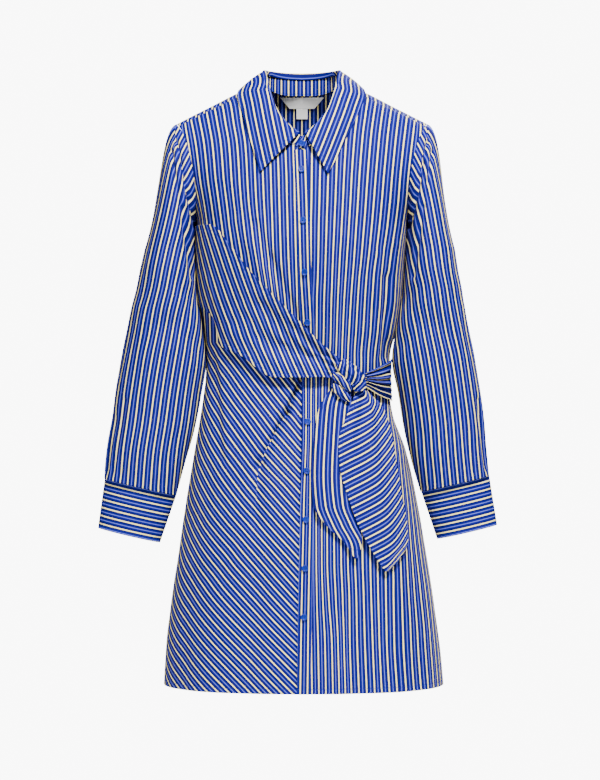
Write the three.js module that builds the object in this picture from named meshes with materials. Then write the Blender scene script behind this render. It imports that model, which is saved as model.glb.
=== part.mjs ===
import * as THREE from "three";

// Long-sleeved shirt dress with a wrapped and knotted waist, filled out and hollow.
// Millimetres, +Z up, front towards -Y, +X is the wearer's left.
// "down" is the drop below the origin, which lies between the shoulders at the base of the neck.

const clothWall = 1.5;
const cuffWall = 1.8;
const labelWall = 1.0;
const seamGap = 0.4;
const wrapSeamGap = 1;
const underarm = 200;
const hem = 889;
const roundness = 2.3;
const neckCorner = 61;
const yokeDrop = 0.19;
const backSeam = 110;

// Level sections of the body, a row per height. Above the underarm the half widths run on past the armhole.
const sections = [
  { down: -40, right: 330, left: 330, front: 112, back: 110 },
  { down: 20, right: 292, left: 292, front: 112, back: 110 },
  { down: 50, right: 262, left: 262, front: 112, back: 110 },
  { down: 75, right: 235, left: 235, front: 112, back: 110 },
  { down: 105, right: 206, left: 206, front: 112, back: 111 },
  { down: 140, right: 181, left: 181, front: 112, back: 112 },
  { down: 165, right: 168, left: 168, front: 112.5, back: 112 },
  { down: 190, right: 160, left: 160, front: 113.5, back: 112 },
  { down: 200, right: 158, left: 158, front: 114.5, back: 112 },
  { down: 235, right: 156, left: 156, front: 119, back: 108 },
  { down: 300, right: 151.5, left: 151, front: 113, back: 100 },
  { down: 350, right: 143, left: 144, front: 103, back: 93 },
  { down: 400, right: 138.5, left: 132, front: 97, back: 90 },
  { down: 430, right: 142, left: 131, front: 97, back: 92 },
  { down: 460, right: 147, left: 132, front: 101, back: 98 },
  { down: 490, right: 152.5, left: 137, front: 108, back: 105 },
  { down: 540, right: 161, left: 155.5, front: 120, back: 118 },
  { down: 600, right: 171, left: 169.5, front: 132, back: 133 },
  { down: 690, right: 184.5, left: 185.5, front: 143, back: 146 },
  { down: 780, right: 197.5, left: 199.5, front: 150, back: 155 },
  { down: 840, right: 204, left: 207.5, front: 154, back: 159 },
  { down: 889, right: 207, left: 212, front: 156, back: 161 },
];

// Armhole seam seen from the front.
const armhole = [
  { down: -40, x: 187 },
  { down: 51, x: 187 },
  { down: 61, x: 181 },
  { down: 75, x: 174 },
  { down: 105, x: 165 },
  { down: 142, x: 159 },
  { down: 170, x: 157.3 },
  { down: 200, x: 158 },
];

// Middle line of the button placket, down the front.
const placketLine = [
  { down: 90, x: -2.5 },
  { down: 128, x: -1 },
  { down: 203, x: 1.5 },
  { down: 278, x: 3.5 },
  { down: 351, x: 7.5 },
  { down: 424, x: 9.5 },
  { down: 497, x: 9.5 },
  { down: 568, x: 8 },
  { down: 638, x: 6.8 },
  { down: 708, x: 5.3 },
  { down: 778, x: 4 },
  { down: 889, x: 2.5 },
];

// Neck seam on one half, from the front centre (0) to the back centre (1); side is -1 in front and 1 behind.
const neckSeam = [
  { along: 0, x: 0, down: 97, side: -1 },
  { along: 0.13, x: 22, down: 84, side: -1 },
  { along: 0.27, x: 42, down: 56, side: -1 },
  { along: 0.4, x: 55.5, down: 22, side: -1 },
  { along: 0.52, x: 61, down: -4.6, side: -1 },
  { along: 0.61, x: 62, down: -11.2, side: 0 },
  { along: 0.7, x: 58.5, down: -11.2, side: 1 },
  { along: 0.78, x: 50, down: -9, side: 1 },
  { along: 0.87, x: 36, down: -4.5, side: 1 },
  { along: 0.94, x: 18, down: -1.2, side: 1 },
  { along: 1, x: 0, down: 0, side: 1 },
];

// Fold line of the collar on one half.
const collarFold = [
  { along: 0, x: 0, y: -87, down: 77 },
  { along: 0.13, x: 19, y: -80, down: 61 },
  { along: 0.27, x: 38, y: -62, down: 35 },
  { along: 0.4, x: 49.5, y: -38, down: 2 },
  { along: 0.52, x: 55, y: -15, down: -19 },
  { along: 0.61, x: 56.5, y: 2, down: -28 },
  { along: 0.7, x: 54, y: 18, down: -29.5 },
  { along: 0.78, x: 47.5, y: 32, down: -28.8 },
  { along: 0.87, x: 35, y: 46, down: -27.6 },
  { along: 0.94, x: 18, y: 54, down: -26.6 },
  { along: 1, x: 0, y: 57, down: -26.2 },
];

// Free edge of the collar leaf; the two points hang differently. It starts a little off the front centre.
const leafStart = 0.03;
const leafEdge = [
  { along: leafStart, xRight: 61, downRight: 130, xLeft: 38, downLeft: 134, side: -1 },
  { along: 0.14, xRight: 69, downRight: 103, xLeft: 50.5, downLeft: 108, side: -1 },
  { along: 0.27, xRight: 79.5, downRight: 66, xLeft: 68, downLeft: 70, side: -1 },
  { along: 0.4, xRight: 88, downRight: 34, xLeft: 82.5, downLeft: 37, side: -1 },
  { along: 0.52, xRight: 94, downRight: 11.5, xLeft: 92, downLeft: 12, side: -1 },
  { along: 0.61, xRight: 90, downRight: 2, xLeft: 90, downLeft: 2, side: 0 },
  { along: 0.7, xRight: 82, downRight: 10, xLeft: 82, downLeft: 10, side: 1 },
  { along: 0.78, xRight: 70, downRight: 17, xLeft: 70, downLeft: 17, side: 1 },
  { along: 0.87, xRight: 46, downRight: 21, xLeft: 46, downLeft: 21, side: 1 },
  { along: 0.94, xRight: 22, downRight: 22.5, xLeft: 22, downLeft: 22.5, side: 1 },
  { along: 1, xRight: 0, downRight: 23, xLeft: 0, downLeft: 23, side: 1 },
];

// Seam under the wrap where the right bodice ends and the right skirt starts, by distance from the centre.
const wrapSeam = [
  { out: -20, down: 423 },
  { out: 39, down: 421 },
  { out: 67, down: 404 },
  { out: 90, down: 386 },
  { out: 117, down: 368 },
  { out: 130, down: 330 },
  { out: 150, down: 308 },
];

// The wrap across the waist, from the right side seam to the knot: its top edge, bottom edge and height off the body.
const wrapRows = [
  { along: 0, topX: -157, topDown: 206, lowX: -149, lowDown: 318, lift: 3 },
  { along: 0.12, topX: -136, topDown: 206, lowX: -130, lowDown: 341, lift: 3 },
  { along: 0.24, topX: -104, topDown: 238, lowX: -117, lowDown: 383, lift: 3.1 },
  { along: 0.36, topX: -73, topDown: 278, lowX: -90, lowDown: 397, lift: 3.4 },
  { along: 0.5, topX: -39, topDown: 312, lowX: -39, lowDown: 432, lift: 4.5 },
  { along: 0.66, topX: 1, topDown: 353, lowX: 6, lowDown: 432, lift: 7.6 },
  { along: 0.82, topX: 30, topDown: 383, lowX: 30, lowDown: 431, lift: 9 },
  { along: 1, topX: 53, topDown: 405, lowX: 52, lowDown: 433, lift: 9.5 },
];

// The belt from the left side seam to the knot.
const beltRows = [
  { along: 0, top: 403, low: 467, lift: 3 },
  { along: 0.45, top: 412, low: 457, lift: 4.2 },
  { along: 1, top: 424, low: 446, lift: 8.8 },
];
const beltEndX = 90;

// Sleeve sections below the cap; out and in are the outer and inner edges of each sleeve.
const sleeveRows = [
  { down: 240, outRight: 235, inRight: 167, outLeft: 228.5, inLeft: 163, deep: 142, mid: 4, tip: 0 },
  { down: 270, outRight: 241.5, inRight: 164.5, outLeft: 232.5, inLeft: 160, deep: 137, mid: 3, tip: 0.01 },
  { down: 300, outRight: 247.5, inRight: 161, outLeft: 238.5, inLeft: 156.5, deep: 130, mid: 2, tip: 0.02 },
  { down: 330, outRight: 255, inRight: 154.5, outLeft: 243, inLeft: 152, deep: 123, mid: 0, tip: 0.03 },
  { down: 360, outRight: 261, inRight: 149, outLeft: 249, inLeft: 147, deep: 117, mid: -2, tip: 0.05 },
  { down: 400, outRight: 269, inRight: 146.5, outLeft: 257.5, inLeft: 140.5, deep: 111, mid: -4, tip: 0.07 },
  { down: 450, outRight: 277.5, inRight: 153.5, outLeft: 265.5, inLeft: 146, deep: 105, mid: -6, tip: 0.1 },
  { down: 500, outRight: 284.5, inRight: 162, outLeft: 272, inLeft: 153.5, deep: 99, mid: -8, tip: 0.14 },
  { down: 545, outRight: 291.5, inRight: 174, outLeft: 275.5, inLeft: 163.5, deep: 92, mid: -9, tip: 0.19 },
  { down: 595, outRight: 296, inRight: 188, outLeft: 280.5, inLeft: 178.5, deep: 72, mid: -10, tip: 0.235 },
];

// Cuffs: centre and half width of the top and bottom edge.
const cuffs = {
  right: { sleeveEnd: 594.2, topX: -241.5, topDown: 595, lowX: -258.7, lowDown: 667, topHalf: 53.5, lowHalf: 46.5 },
  left: { sleeveEnd: 589.2, topX: 229.2, topDown: 590, lowX: 247, lowDown: 662, topHalf: 51, lowHalf: 45 },
};
const cuffDeep = 31;
const cuffMid = -10;
const cuffLean = 0.235;
const cuffOverlap = 0.085;

// Creases: a straight run from one point to another on the front, how wide and how high (minus for a trough).
const bodiceFolds = [
  { x0: -66, down0: 208, x1: -45, down1: 262, wide: 9, high: -2.5 },
  { x0: -45, down0: 262, x1: -6, down1: 345, wide: 9, high: -3.2 },
  { x0: -95, down0: 205, x1: -60, down1: 270, wide: 11, high: 2.2 },
];
const leftFolds = [
  { x0: 125, down0: 285, x1: 122, down1: 400, wide: 7, high: -3 },
  { x0: 24, down0: 470, x1: 20, down1: 800, wide: 7, high: -3 },
  { x0: 120, down0: 520, x1: 140, down1: 880, wide: 22, high: 3 },
  { x0: 75, down0: 600, x1: 84, down1: 885, wide: 16, high: -2.5 },
];
const skirtFolds = [
  { x0: -2, down0: 436, x1: -23, down1: 482, wide: 6, high: -4.5 },
  { x0: -23, down0: 482, x1: -64, down1: 560, wide: 8, high: -5 },
  { x0: -64, down0: 560, x1: -68, down1: 640, wide: 13, high: -3.5 },
  { x0: -68, down0: 640, x1: -126, down1: 720, wide: 18, high: -2.5 },
  { x0: -131, down0: 410, x1: -118, down1: 550, wide: 8, high: -2.6 },
  { x0: -110, down0: 715, x1: -140, down1: 885, wide: 26, high: 3 },
];
const backFolds = [
  { x0: 34, down0: 118, x1: 60, down1: 330, wide: 15, high: -2.6 },
  { x0: -30, down0: 118, x1: -55, down1: 340, wide: 15, high: -2.8 },
  { x0: 62, down0: 420, x1: 88, down1: 885, wide: 24, high: -4 },
  { x0: -58, down0: 430, x1: -90, down1: 885, wide: 26, high: -4.2 },
  { x0: 4, down0: 440, x1: -6, down1: 880, wide: 22, high: 3 },
];
// Creases of the wrap run lengthwise: their place between its edges (0 top, 1 bottom) at each end.
const wrapFolds = [
  { from: 0.3, to: 1, place0: 0.3, place1: 0.22, wide: 0.1, high: -2.4 },
  { from: 0.42, to: 1, place0: 0.62, place1: 0.5, wide: 0.09, high: -2.6 },
  { from: 0.1, to: 0.95, place0: 0.8, place1: 0.76, wide: 0.1, high: 1.8 },
];

const clamp = (value, low, high) => Math.min(high, Math.max(low, value));
const mix = (from, to, share) => from + (to - from) * share;
const evenly = (count) => Array.from({ length: count + 1 }, (_, i) => i / count);
function ease(from, to, value) {
  const share = clamp((value - from) / (to - from), 0, 1);
  return share * share * (3 - 2 * share);
}

// A column of a table at any place along it, by a cubic through the rows that never overshoots.
function read(rows, key, column, place) {
  const last = rows.length - 1;
  if (place <= rows[0][key]) return rows[0][column];
  if (place >= rows[last][key]) return rows[last][column];
  let i = 0;
  while (place > rows[i + 1][key]) i += 1;
  const rise = (k) => (rows[k + 1][column] - rows[k][column]) / (rows[k + 1][key] - rows[k][key]);
  const slope = (k) => {
    if (k === 0) return rise(0);
    if (k === last) return rise(last - 1);
    const before = rise(k - 1);
    const after = rise(k);
    return before * after <= 0 ? 0 : (2 * before * after) / (before + after);
  };
  const step = rows[i + 1][key] - rows[i][key];
  const t = (place - rows[i][key]) / step;
  return rows[i][column] * (1 + 2 * t) * (1 - t) ** 2 + slope(i) * step * t * (1 - t) ** 2
    + rows[i + 1][column] * t * t * (3 - 2 * t) + slope(i + 1) * step * t * t * (t - 1);
}

const halfAt = (x, down) => read(sections, "down", x < 0 ? "right" : "left", down);
const depthAt = (side, down) => read(sections, "down", side < 0 ? "front" : "back", down);
const armholeAt = (down) => read(armhole, "down", "x", down);
const placketAt = (down) => read(placketLine, "down", "x", down);

// Drop of the shoulder ridge at a distance from the centre.
const ridgeAt = (x) => -29.2 + 0.53 * (Math.hypot(x, 40) - 40);

// Depth of the body before (side -1) or behind (side 1) at a place, rounded over the shoulder.
function bodyY(x, down, side) {
  const swing = (1 - clamp(Math.abs(x) / halfAt(x, down), 0, 1) ** roundness) ** (1 / roundness);
  const depth = depthAt(side, down) * swing;
  if (down >= underarm) return side * depth;
  const top = ridgeAt(x);
  const share = clamp((down - top) / (underarm - top), 0, 1);
  const power = side < 0 ? 1.5 : 2.1;
  return side * depth * (1 - (1 - share) ** power) ** (1 / power);
}
const bodyAt = (x, down, side) => new THREE.Vector3(x, bodyY(x, down, side), -down);

// Level ring of the body at an angle from the front centre, positive towards +X.
function ringAt(angle, down) {
  const across = Math.sin(angle);
  const ahead = Math.cos(angle);
  const half = halfAt(across, down);
  const depth = depthAt(ahead > 0 ? -1 : 1, down);
  const reach = ((Math.abs(across) / half) ** roundness + (Math.abs(ahead) / depth) ** roundness) ** (-1 / roundness);
  return new THREE.Vector3(reach * across, -reach * ahead, -down);
}
const angleAt = (x, down) => Math.atan2(x, -bodyY(x, down, -1));

// Height that the creases of a table give at a place on the front.
function creaseAt(folds, x, down) {
  let total = 0;
  for (const fold of folds) {
    const runX = fold.x1 - fold.x0;
    const runDown = fold.down1 - fold.down0;
    const along = ((x - fold.x0) * runX + (down - fold.down0) * runDown) / (runX ** 2 + runDown ** 2);
    const near = clamp(along, 0, 1);
    const off = Math.hypot(x - fold.x0 - near * runX, down - fold.down0 - near * runDown);
    total += fold.high * Math.exp(-((off / fold.wide) ** 2));
  }
  return total;
}

const group = new THREE.Group();
group.name = "shirt_dress";

function addMesh(name, points, faces) {
  const geometry = new THREE.BufferGeometry();
  geometry.setAttribute("position", new THREE.Float32BufferAttribute(points.flatMap((p) => [p.x, p.y, p.z]), 3));
  geometry.setIndex(faces.flat());
  const mesh = new THREE.Mesh(geometry, new THREE.MeshStandardMaterial());
  mesh.name = name;
  group.add(mesh);
}

// Direction square to a surface at a place, worked out from its neighbours.
function facing(surface, u, v, wrap, vEnd = 1) {
  const step = 0.004;
  const before = wrap ? u - step : Math.max(0, u - step);
  const after = wrap ? u + step : Math.min(1, u + step);
  const alongU = surface(after, v).sub(surface(before, v));
  const alongV = surface(u, Math.min(vEnd, v + step)).sub(surface(u, Math.max(0, v - step)));
  return alongU.cross(alongV).normalize();
}

// Cloth as a closed shell: the surface moved out by lift, and again by lift less the wall, joined round the rim.
// turn is 1 where u cross v points out of the body, else -1.
function cloth(name, { surface, lift = () => 0, cols, rows, wall = clothWall, turn = 1, wrap = false, us, vs }) {
  const across = us ?? evenly(cols);
  const downs = vs ?? evenly(rows);
  const wide = wrap ? across.length - 1 : across.length;
  const outer = [];
  const inner = [];
  for (const v of downs) {
    for (let i = 0; i < wide; i += 1) {
      const u = across[i];
      const out = facing(surface, u, v, wrap, downs[downs.length - 1]).multiplyScalar(turn);
      const place = surface(u, v);
      const height = lift(u, v, place);
      outer.push(place.clone().addScaledVector(out, height));
      inner.push(place.clone().addScaledVector(out, height - wall));
    }
  }
  const count = outer.length;
  const faces = [];
  const quad = (a, b, c, d) => faces.push(turn > 0 ? [a, b, c, a, c, d] : [a, c, b, a, d, c]);
  const spans = wrap ? wide : wide - 1;
  for (let j = 0; j < downs.length - 1; j += 1) {
    for (let i = 0; i < spans; i += 1) {
      const a = j * wide + i;
      const b = j * wide + ((i + 1) % wide);
      quad(a, b, b + wide, a + wide);
      quad(count + a, count + a + wide, count + b + wide, count + b);
    }
  }
  const base = (downs.length - 1) * wide;
  for (let i = 0; i < spans; i += 1) {
    const n = (i + 1) % wide;
    quad(i, count + i, count + n, n);
    quad(base + i, base + n, count + base + n, count + base + i);
  }
  if (!wrap) {
    for (let j = 0; j < downs.length - 1; j += 1) {
      const a = j * wide;
      const b = a + wide;
      quad(a, b, count + b, count + a);
      quad(a + wide - 1, count + a + wide - 1, count + b + wide - 1, b + wide - 1);
    }
  }
  addMesh(name, [...outer, ...inner], faces);
}

// Front panels. hand is 1 for the wearer's left and -1 for the right; u runs from the centre to the side.
const columnReach = (u) => Math.sin((Math.PI / 2) * u);
function frontColumn(hand, u, down) {
  const centre = placketAt(down) + (hand * seamGap) / 2;
  if (down < underarm) {
    const x = mix(centre, hand * armholeAt(down), columnReach(u));
    return bodyAt(x, down, -1);
  }
  const startX = placketAt(underarm) + (hand * seamGap) / 2;
  const start = angleAt(startX, underarm);
  const x = mix(startX, hand * armholeAt(underarm), columnReach(u));
  const share = (angleAt(x, underarm) - start) / (hand * Math.PI / 2 - start);
  const side = hand * (Math.PI / 2 - seamGap / 2 / halfAt(hand, down));
  return ringAt(mix(angleAt(centre, down), side, share), down);
}
// Top edge of the front: the neckline, then the yoke seam just before the shoulder ridge.
const frontNeck = neckSeam.filter((row) => row.side < 0);
function frontTop(x) {
  const out = Math.abs(x);
  if (out < neckCorner) return read(frontNeck, "x", "down", out);
  return mix(ridgeAt(x), underarm, yokeDrop ** 2);
}
function columnTop(hand, u) {
  let high = -30;
  let low = 120;
  for (let i = 0; i < 40; i += 1) {
    const down = (high + low) / 2;
    const x = mix(placketAt(down), hand * armholeAt(down), columnReach(u));
    if (down < frontTop(x)) high = down;
    else low = down;
  }
  return low + seamGap / 2;
}
function frontUs(hand) {
  const centre = placketAt(0);
  const corner = (2 / Math.PI) * Math.asin((hand * neckCorner - centre) / (hand * armholeAt(0) - centre));
  return [0, 0.25, 0.5, 0.75, 1].map((s) => s * corner)
    .concat([0.12, 0.27, 0.44, 0.62, 0.8, 0.92, 1].map((s) => mix(corner, 1, s)));
}

// Rows of the fronts and the placket, shared so that the strip lies evenly on the panels.
const waistDown = 423;
const chestRows = [0, 0.14, 0.31, 0.48, 0.66, 0.84];
const bodiceRows = evenly(8);
const skirtRows = evenly(13);
const frontSpan = hem - underarm;
cloth("front_left", {
  surface: (u, v) => frontColumn(1, u, v < 1 ? mix(columnTop(1, u), underarm, v) : underarm + (v - 1) * frontSpan),
  lift: (u, v, p) => creaseAt(leftFolds, p.x, -p.z) * ease(0, 0.06, u) * ease(1, 0.97, u),
  us: frontUs(1),
  vs: chestRows
    .concat(bodiceRows.map((s) => 1 + (s * (waistDown - underarm)) / frontSpan))
    .concat(skirtRows.slice(1).map((s) => 1 + (mix(waistDown, hem, s) - underarm) / frontSpan)),
  turn: -1,
});

const seamUnder = (x) => read(wrapSeam, "out", "down", Math.abs(x));
function columnSeam(u) {
  let high = 300;
  let low = 430;
  for (let i = 0; i < 40; i += 1) {
    const down = (high + low) / 2;
    if (down < seamUnder(Math.min(0, frontColumn(-1, u, down).x))) high = down;
    else low = down;
  }
  return low;
}
cloth("front_right", {
  surface: (u, v) => frontColumn(-1, u, v < 1
    ? mix(columnTop(-1, u), underarm, v)
    : mix(underarm, columnSeam(u) - wrapSeamGap / 2, v - 1)),
  lift: (u, v, p) => creaseAt(bodiceFolds, p.x, -p.z) * ease(0, 0.06, u) * ease(1, 0.97, u) * ease(2, 1.7, v),
  us: frontUs(-1),
  vs: chestRows.concat(bodiceRows.map((s) => 1 + s)),
  turn: 1,
});

cloth("skirt_right", {
  surface: (u, v) => frontColumn(-1, u, mix(columnSeam(u) + wrapSeamGap / 2, hem, v)),
  lift: (u, v, p) => creaseAt(skirtFolds, p.x, -p.z) * ease(0, 0.06, u) * ease(1, 0.97, u) * ease(0, 0.04, v),
  us: frontUs(-1),
  vs: skirtRows,
  turn: 1,
});

const placketTop = 98.5;
const placketWide = 20;
const overPlacket = 0.4;
cloth("placket", {
  surface: (u, v) => {
    const down = mix(placketTop, hem, v);
    return bodyAt(placketAt(down) + (u - 0.5) * placketWide, down, -1);
  },
  lift: () => clothWall + overPlacket,
  cols: 2,
  vs: chestRows.map((s) => mix(placketTop, underarm, s))
    .concat(bodiceRows.map((s) => mix(underarm, waistDown, s)))
    .concat(skirtRows.slice(1).map((s) => mix(waistDown, hem, s)))
    .map((down) => (down - placketTop) / (hem - placketTop)),
  turn: -1,
});

// Back yoke: a horseshoe from the neck seam out to the armholes and the back seam, over the shoulder ridge.
function yokePoint(x, reach) {
  const down = mix(ridgeAt(x), underarm, reach * reach);
  return bodyAt(x, down, reach < 0 ? -1 : 1);
}
const reachOf = (x, down, side) => side * Math.sqrt(Math.max(0, (down - ridgeAt(x)) / (underarm - ridgeAt(x))));
const yokeRows = [
  { along: 0, neckX: 61, neckReach: -yokeDrop + 0.002, outX: 184.8, outReach: -yokeDrop + 0.002 },
  { along: 0.1, neckX: 62, neckReach: -0.09, outX: 186.6, outReach: -0.08 },
  { along: 0.2, neckX: 62, neckReach: 0.02, outX: 187, outReach: 0.03 },
  { along: 0.3, neckX: 60.5, neckReach: 0.11, outX: armholeAt(62), outReach: reachOf(armholeAt(62), 62, 1) },
  { along: 0.42, neckX: 56, neckReach: 0.17, outX: armholeAt(84), outReach: reachOf(armholeAt(84), 84, 1) },
  { along: 0.55, neckX: 46, neckReach: reachOf(46, -7.6, 1), outX: armholeAt(backSeam), outReach: reachOf(armholeAt(backSeam), backSeam, 1) },
  { along: 0.72, neckX: 31, neckReach: reachOf(31, -3.2, 1), outX: 108, outReach: reachOf(108, backSeam, 1) },
  { along: 0.86, neckX: 15.5, neckReach: reachOf(15.5, -0.8, 1), outX: 54, outReach: reachOf(54, backSeam, 1) },
  { along: 1, neckX: 0, neckReach: reachOf(0, 0.2, 1), outX: 0, outReach: reachOf(0, backSeam, 1) },
];
function yokeSurface(u, v) {
  const hand = u < 0.5 ? 1 : -1;
  const along = 1 - Math.abs(2 * u - 1);
  const value = (column) => read(yokeRows, "along", column, along);
  const x = mix(value("neckX"), value("outX"), v);
  return yokePoint(hand * x, mix(value("neckReach"), value("outReach"), v));
}
const yokeUs = [0, 0.05, 0.1, 0.15, 0.21, 0.275, 0.36, 0.43, 0.5];
cloth("back_yoke", {
  surface: yokeSurface,
  us: yokeUs.concat(yokeUs.slice(0, -1).reverse().map((u) => 1 - u)),
  rows: 7,
  turn: -1,
});

// Back: columns from the left side seam round to the right one.
function backColumn(u, down) {
  const hand = u < 0.5 ? 1 : -1;
  const out = Math.abs(2 * u - 1);
  const reach = Math.sin((Math.PI / 2) * out);
  if (down < underarm) return bodyAt(hand * armholeAt(down) * reach, down, 1);
  const x = armholeAt(underarm) * reach;
  const share = Math.atan2(x, bodyY(x, underarm, 1)) / (Math.PI / 2);
  const side = Math.PI / 2 - seamGap / 2 / halfAt(hand, down);
  return ringAt(Math.PI - hand * side * share, down);
}
const backShare = 0.14;
cloth("back", {
  surface: (u, v) => backColumn(u, v < backShare
    ? mix(backSeam + seamGap, underarm, v / backShare)
    : mix(underarm, hem, (v - backShare) / (1 - backShare))),
  lift: (u, v, p) => creaseAt(backFolds, p.x, -p.z) * ease(0, 0.03, u) * ease(1, 0.97, u) * ease(0, 0.04, v),
  us: evenly(20),
  vs: [0, 0.045, 0.09].concat(evenly(18).map((s) => mix(backShare, 1, s))),
  turn: -1,
});

// Collar stand: a strip round the neck whose right end laps over the left one at the front.
const seamPlaces = neckSeam.map((row) => ({ ...row, y: row.side === 0 ? 0 : bodyY(row.x, row.down, row.side) }));
function neckPlace(rows, hand, along, column) {
  const value = read(rows, "along", column, Math.abs(along));
  return column === "x" ? hand * value * Math.sign(along || 1) : value;
}
function standSurface(u, v) {
  const hand = u < 0.5 ? -1 : 1;
  const along = u < 0.5 ? mix(-0.045, 1, u / 0.5) : mix(1, -0.06, (u - 0.5) / 0.5);
  const seam = new THREE.Vector3(neckPlace(seamPlaces, hand, along, "x"), neckPlace(seamPlaces, hand, along, "y"), -neckPlace(seamPlaces, hand, along, "down"));
  const fold = new THREE.Vector3(neckPlace(collarFold, hand, along, "x"), neckPlace(collarFold, hand, along, "y"), -neckPlace(collarFold, hand, along, "down"));
  return seam.lerp(fold, mix(0.1, 0.94, v));
}
const standLap = 2.1;
cloth("collar_stand", {
  surface: standSurface,
  lift: (u) => standLap * ease(0.09, 0.035, u),
  us: evenly(32),
  rows: 3,
  turn: -1,
});

// Collar leaf: falls from the fold line to its free edge and clears the shoulders.
const leafLift = 3.1;
const leafOff = 2.9;
const leafOver = 2;
function leafPoint(u, v) {
  const hand = u < 0.5 ? -1 : 1;
  const along = mix(leafStart, 1, 1 - Math.abs(2 * u - 1));
  const fold = new THREE.Vector3(neckPlace(collarFold, hand, along, "x"), neckPlace(collarFold, hand, along, "y"), -neckPlace(collarFold, hand, along, "down"));
  const edgeX = read(leafEdge, "along", hand < 0 ? "xRight" : "xLeft", along);
  const edgeDown = read(leafEdge, "along", hand < 0 ? "downRight" : "downLeft", along);
  const before = bodyY(edgeX, Math.max(edgeDown, ridgeAt(edgeX)), -1);
  const behind = bodyY(edgeX, Math.max(edgeDown, ridgeAt(edgeX)), 1);
  const edge = new THREE.Vector3(hand * edgeX, mix(before, behind, ease(0.55, 0.67, along)), -edgeDown);
  const out = new THREE.Vector3(fold.x, fold.y, 0).normalize();
  const place = fold.clone().lerp(edge, v);
  const bow = mix(3.5, 1.6, ease(0.35, 0.55, along));
  const overStand = leafOver * (hand < 0 ? ease(0.16, 0.08, along) : ease(0.12, 0.06, along)) * ease(0.5, 0, v);
  place.addScaledVector(out, leafOff + overStand + bow * Math.sin(Math.PI * v ** 0.8));
  place.z += (leafLift + 0.6) * v * ease(0.3, 0.6, along);
  if (along < 0.6) {
    const skin = bodyY(place.x, -place.z, -1) - leafLift * 1.25;
    const excess = place.y - skin;
    if (-place.z > ridgeAt(place.x) + 1) place.y -= 0.5 * (excess + Math.hypot(excess, 2)) ;
  }
  return place;
}
cloth("collar_leaf", {
  surface: leafPoint,
  us: evenly(32),
  rows: 6,
  turn: 1,
});

// The wrap over the right front.
const wrapTurns = wrapRows.map((row, i) => ({
  ...row,
  topAngle: i === 0 ? -Math.PI / 2 + 0.003 : angleAt(row.topX, row.topDown),
  lowAngle: i === 0 ? -Math.PI / 2 + 0.003 : angleAt(row.lowX, row.lowDown),
}));
function wrapAt(u, v) {
  const value = (column) => read(wrapTurns, "along", column, u);
  return ringAt(mix(value("topAngle"), value("lowAngle"), v), mix(value("topDown"), value("lowDown"), v));
}
// The lower edge of the wrap stands off the skirt.
const wrapFlare = 4;
function wrapLift(u, v, p) {
  let height = read(wrapRows, "along", "lift", u);
  for (const fold of wrapFolds) {
    const along = (u - fold.from) / (fold.to - fold.from);
    if (along <= 0 || along >= 1) continue;
    const off = (v - mix(fold.place0, fold.place1, along)) / fold.wide;
    height += fold.high * Math.exp(-off * off) * ease(0, 0.25, along) * ease(1, 0.9, along);
  }
  height += Math.max(0, creaseAt(bodiceFolds, p.x, -p.z));
  height += wrapFlare * ease(0.55, 1, v) * ease(0.15, 0.4, u) * ease(0.86, 0.7, u);
  return Math.max(height, clothWall + seamGap + mix(1, 4.8, ease(30, 16, Math.abs(p.x - 8))));
}
cloth("wrap_right", {
  surface: wrapAt,
  lift: wrapLift,
  us: evenly(22),
  rows: 10,
  turn: -1,
});

// Belt from the left side to the knot, gathered into pleats.
cloth("belt_left", {
  surface: (u, v) => {
    const down = mix(read(beltRows, "along", "top", u), read(beltRows, "along", "low", u), v);
    return ringAt(mix(Math.PI / 2 - 0.003, angleAt(beltEndX, down), u), down);
  },
  lift: (u, v) => read(beltRows, "along", "lift", u) + 1.1 * (1 - Math.cos(8 * Math.PI * v)) * ease(0, 0.25, u),
  cols: 9,
  rows: 16,
  turn: 1,
});

// Rolls of the knot: a swept oval that closes at both ends. Places are on the front, out is the height off the body.
function roll(name, { path, wide, thick, cols = 12 }) {
  const steps = (path.length - 1) * 3;
  const centres = [];
  for (let j = 0; j <= steps; j += 1) {
    const s = (j / steps) * (path.length - 1);
    const rows = path.map((row, i) => ({ ...row, i }));
    const x = read(rows, "i", "x", s);
    const down = read(rows, "i", "down", s);
    centres.push({ place: new THREE.Vector3(x, bodyY(x, down, -1) - read(rows, "i", "out", s), -down), size: read(rows, "i", "size", s) });
  }
  const points = [];
  const faces = [];
  centres.forEach(({ place, size }, j) => {
    const run = centres[Math.min(steps, j + 1)].place.clone().sub(centres[Math.max(0, j - 1)].place).normalize();
    const outward = new THREE.Vector3(0.25, -1, 0).addScaledVector(run, run.y).normalize();
    const across = new THREE.Vector3().crossVectors(run, outward).normalize();
    for (let i = 0; i < cols; i += 1) {
      const angle = (i / cols) * Math.PI * 2;
      points.push(place.clone().addScaledVector(across, Math.cos(angle) * wide * size).addScaledVector(outward, Math.sin(angle) * thick * size));
    }
  });
  for (let j = 0; j < steps; j += 1) {
    for (let i = 0; i < cols; i += 1) {
      const a = j * cols + i;
      const b = j * cols + ((i + 1) % cols);
      faces.push([a, b + cols, b, a, a + cols, b + cols]);
    }
  }
  const last = steps * cols;
  for (let i = 1; i < cols - 1; i += 1) {
    faces.push([0, i, i + 1]);
    faces.push([last, last + i + 1, last + i]);
  }
  addMesh(name, points, faces);
}

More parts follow.
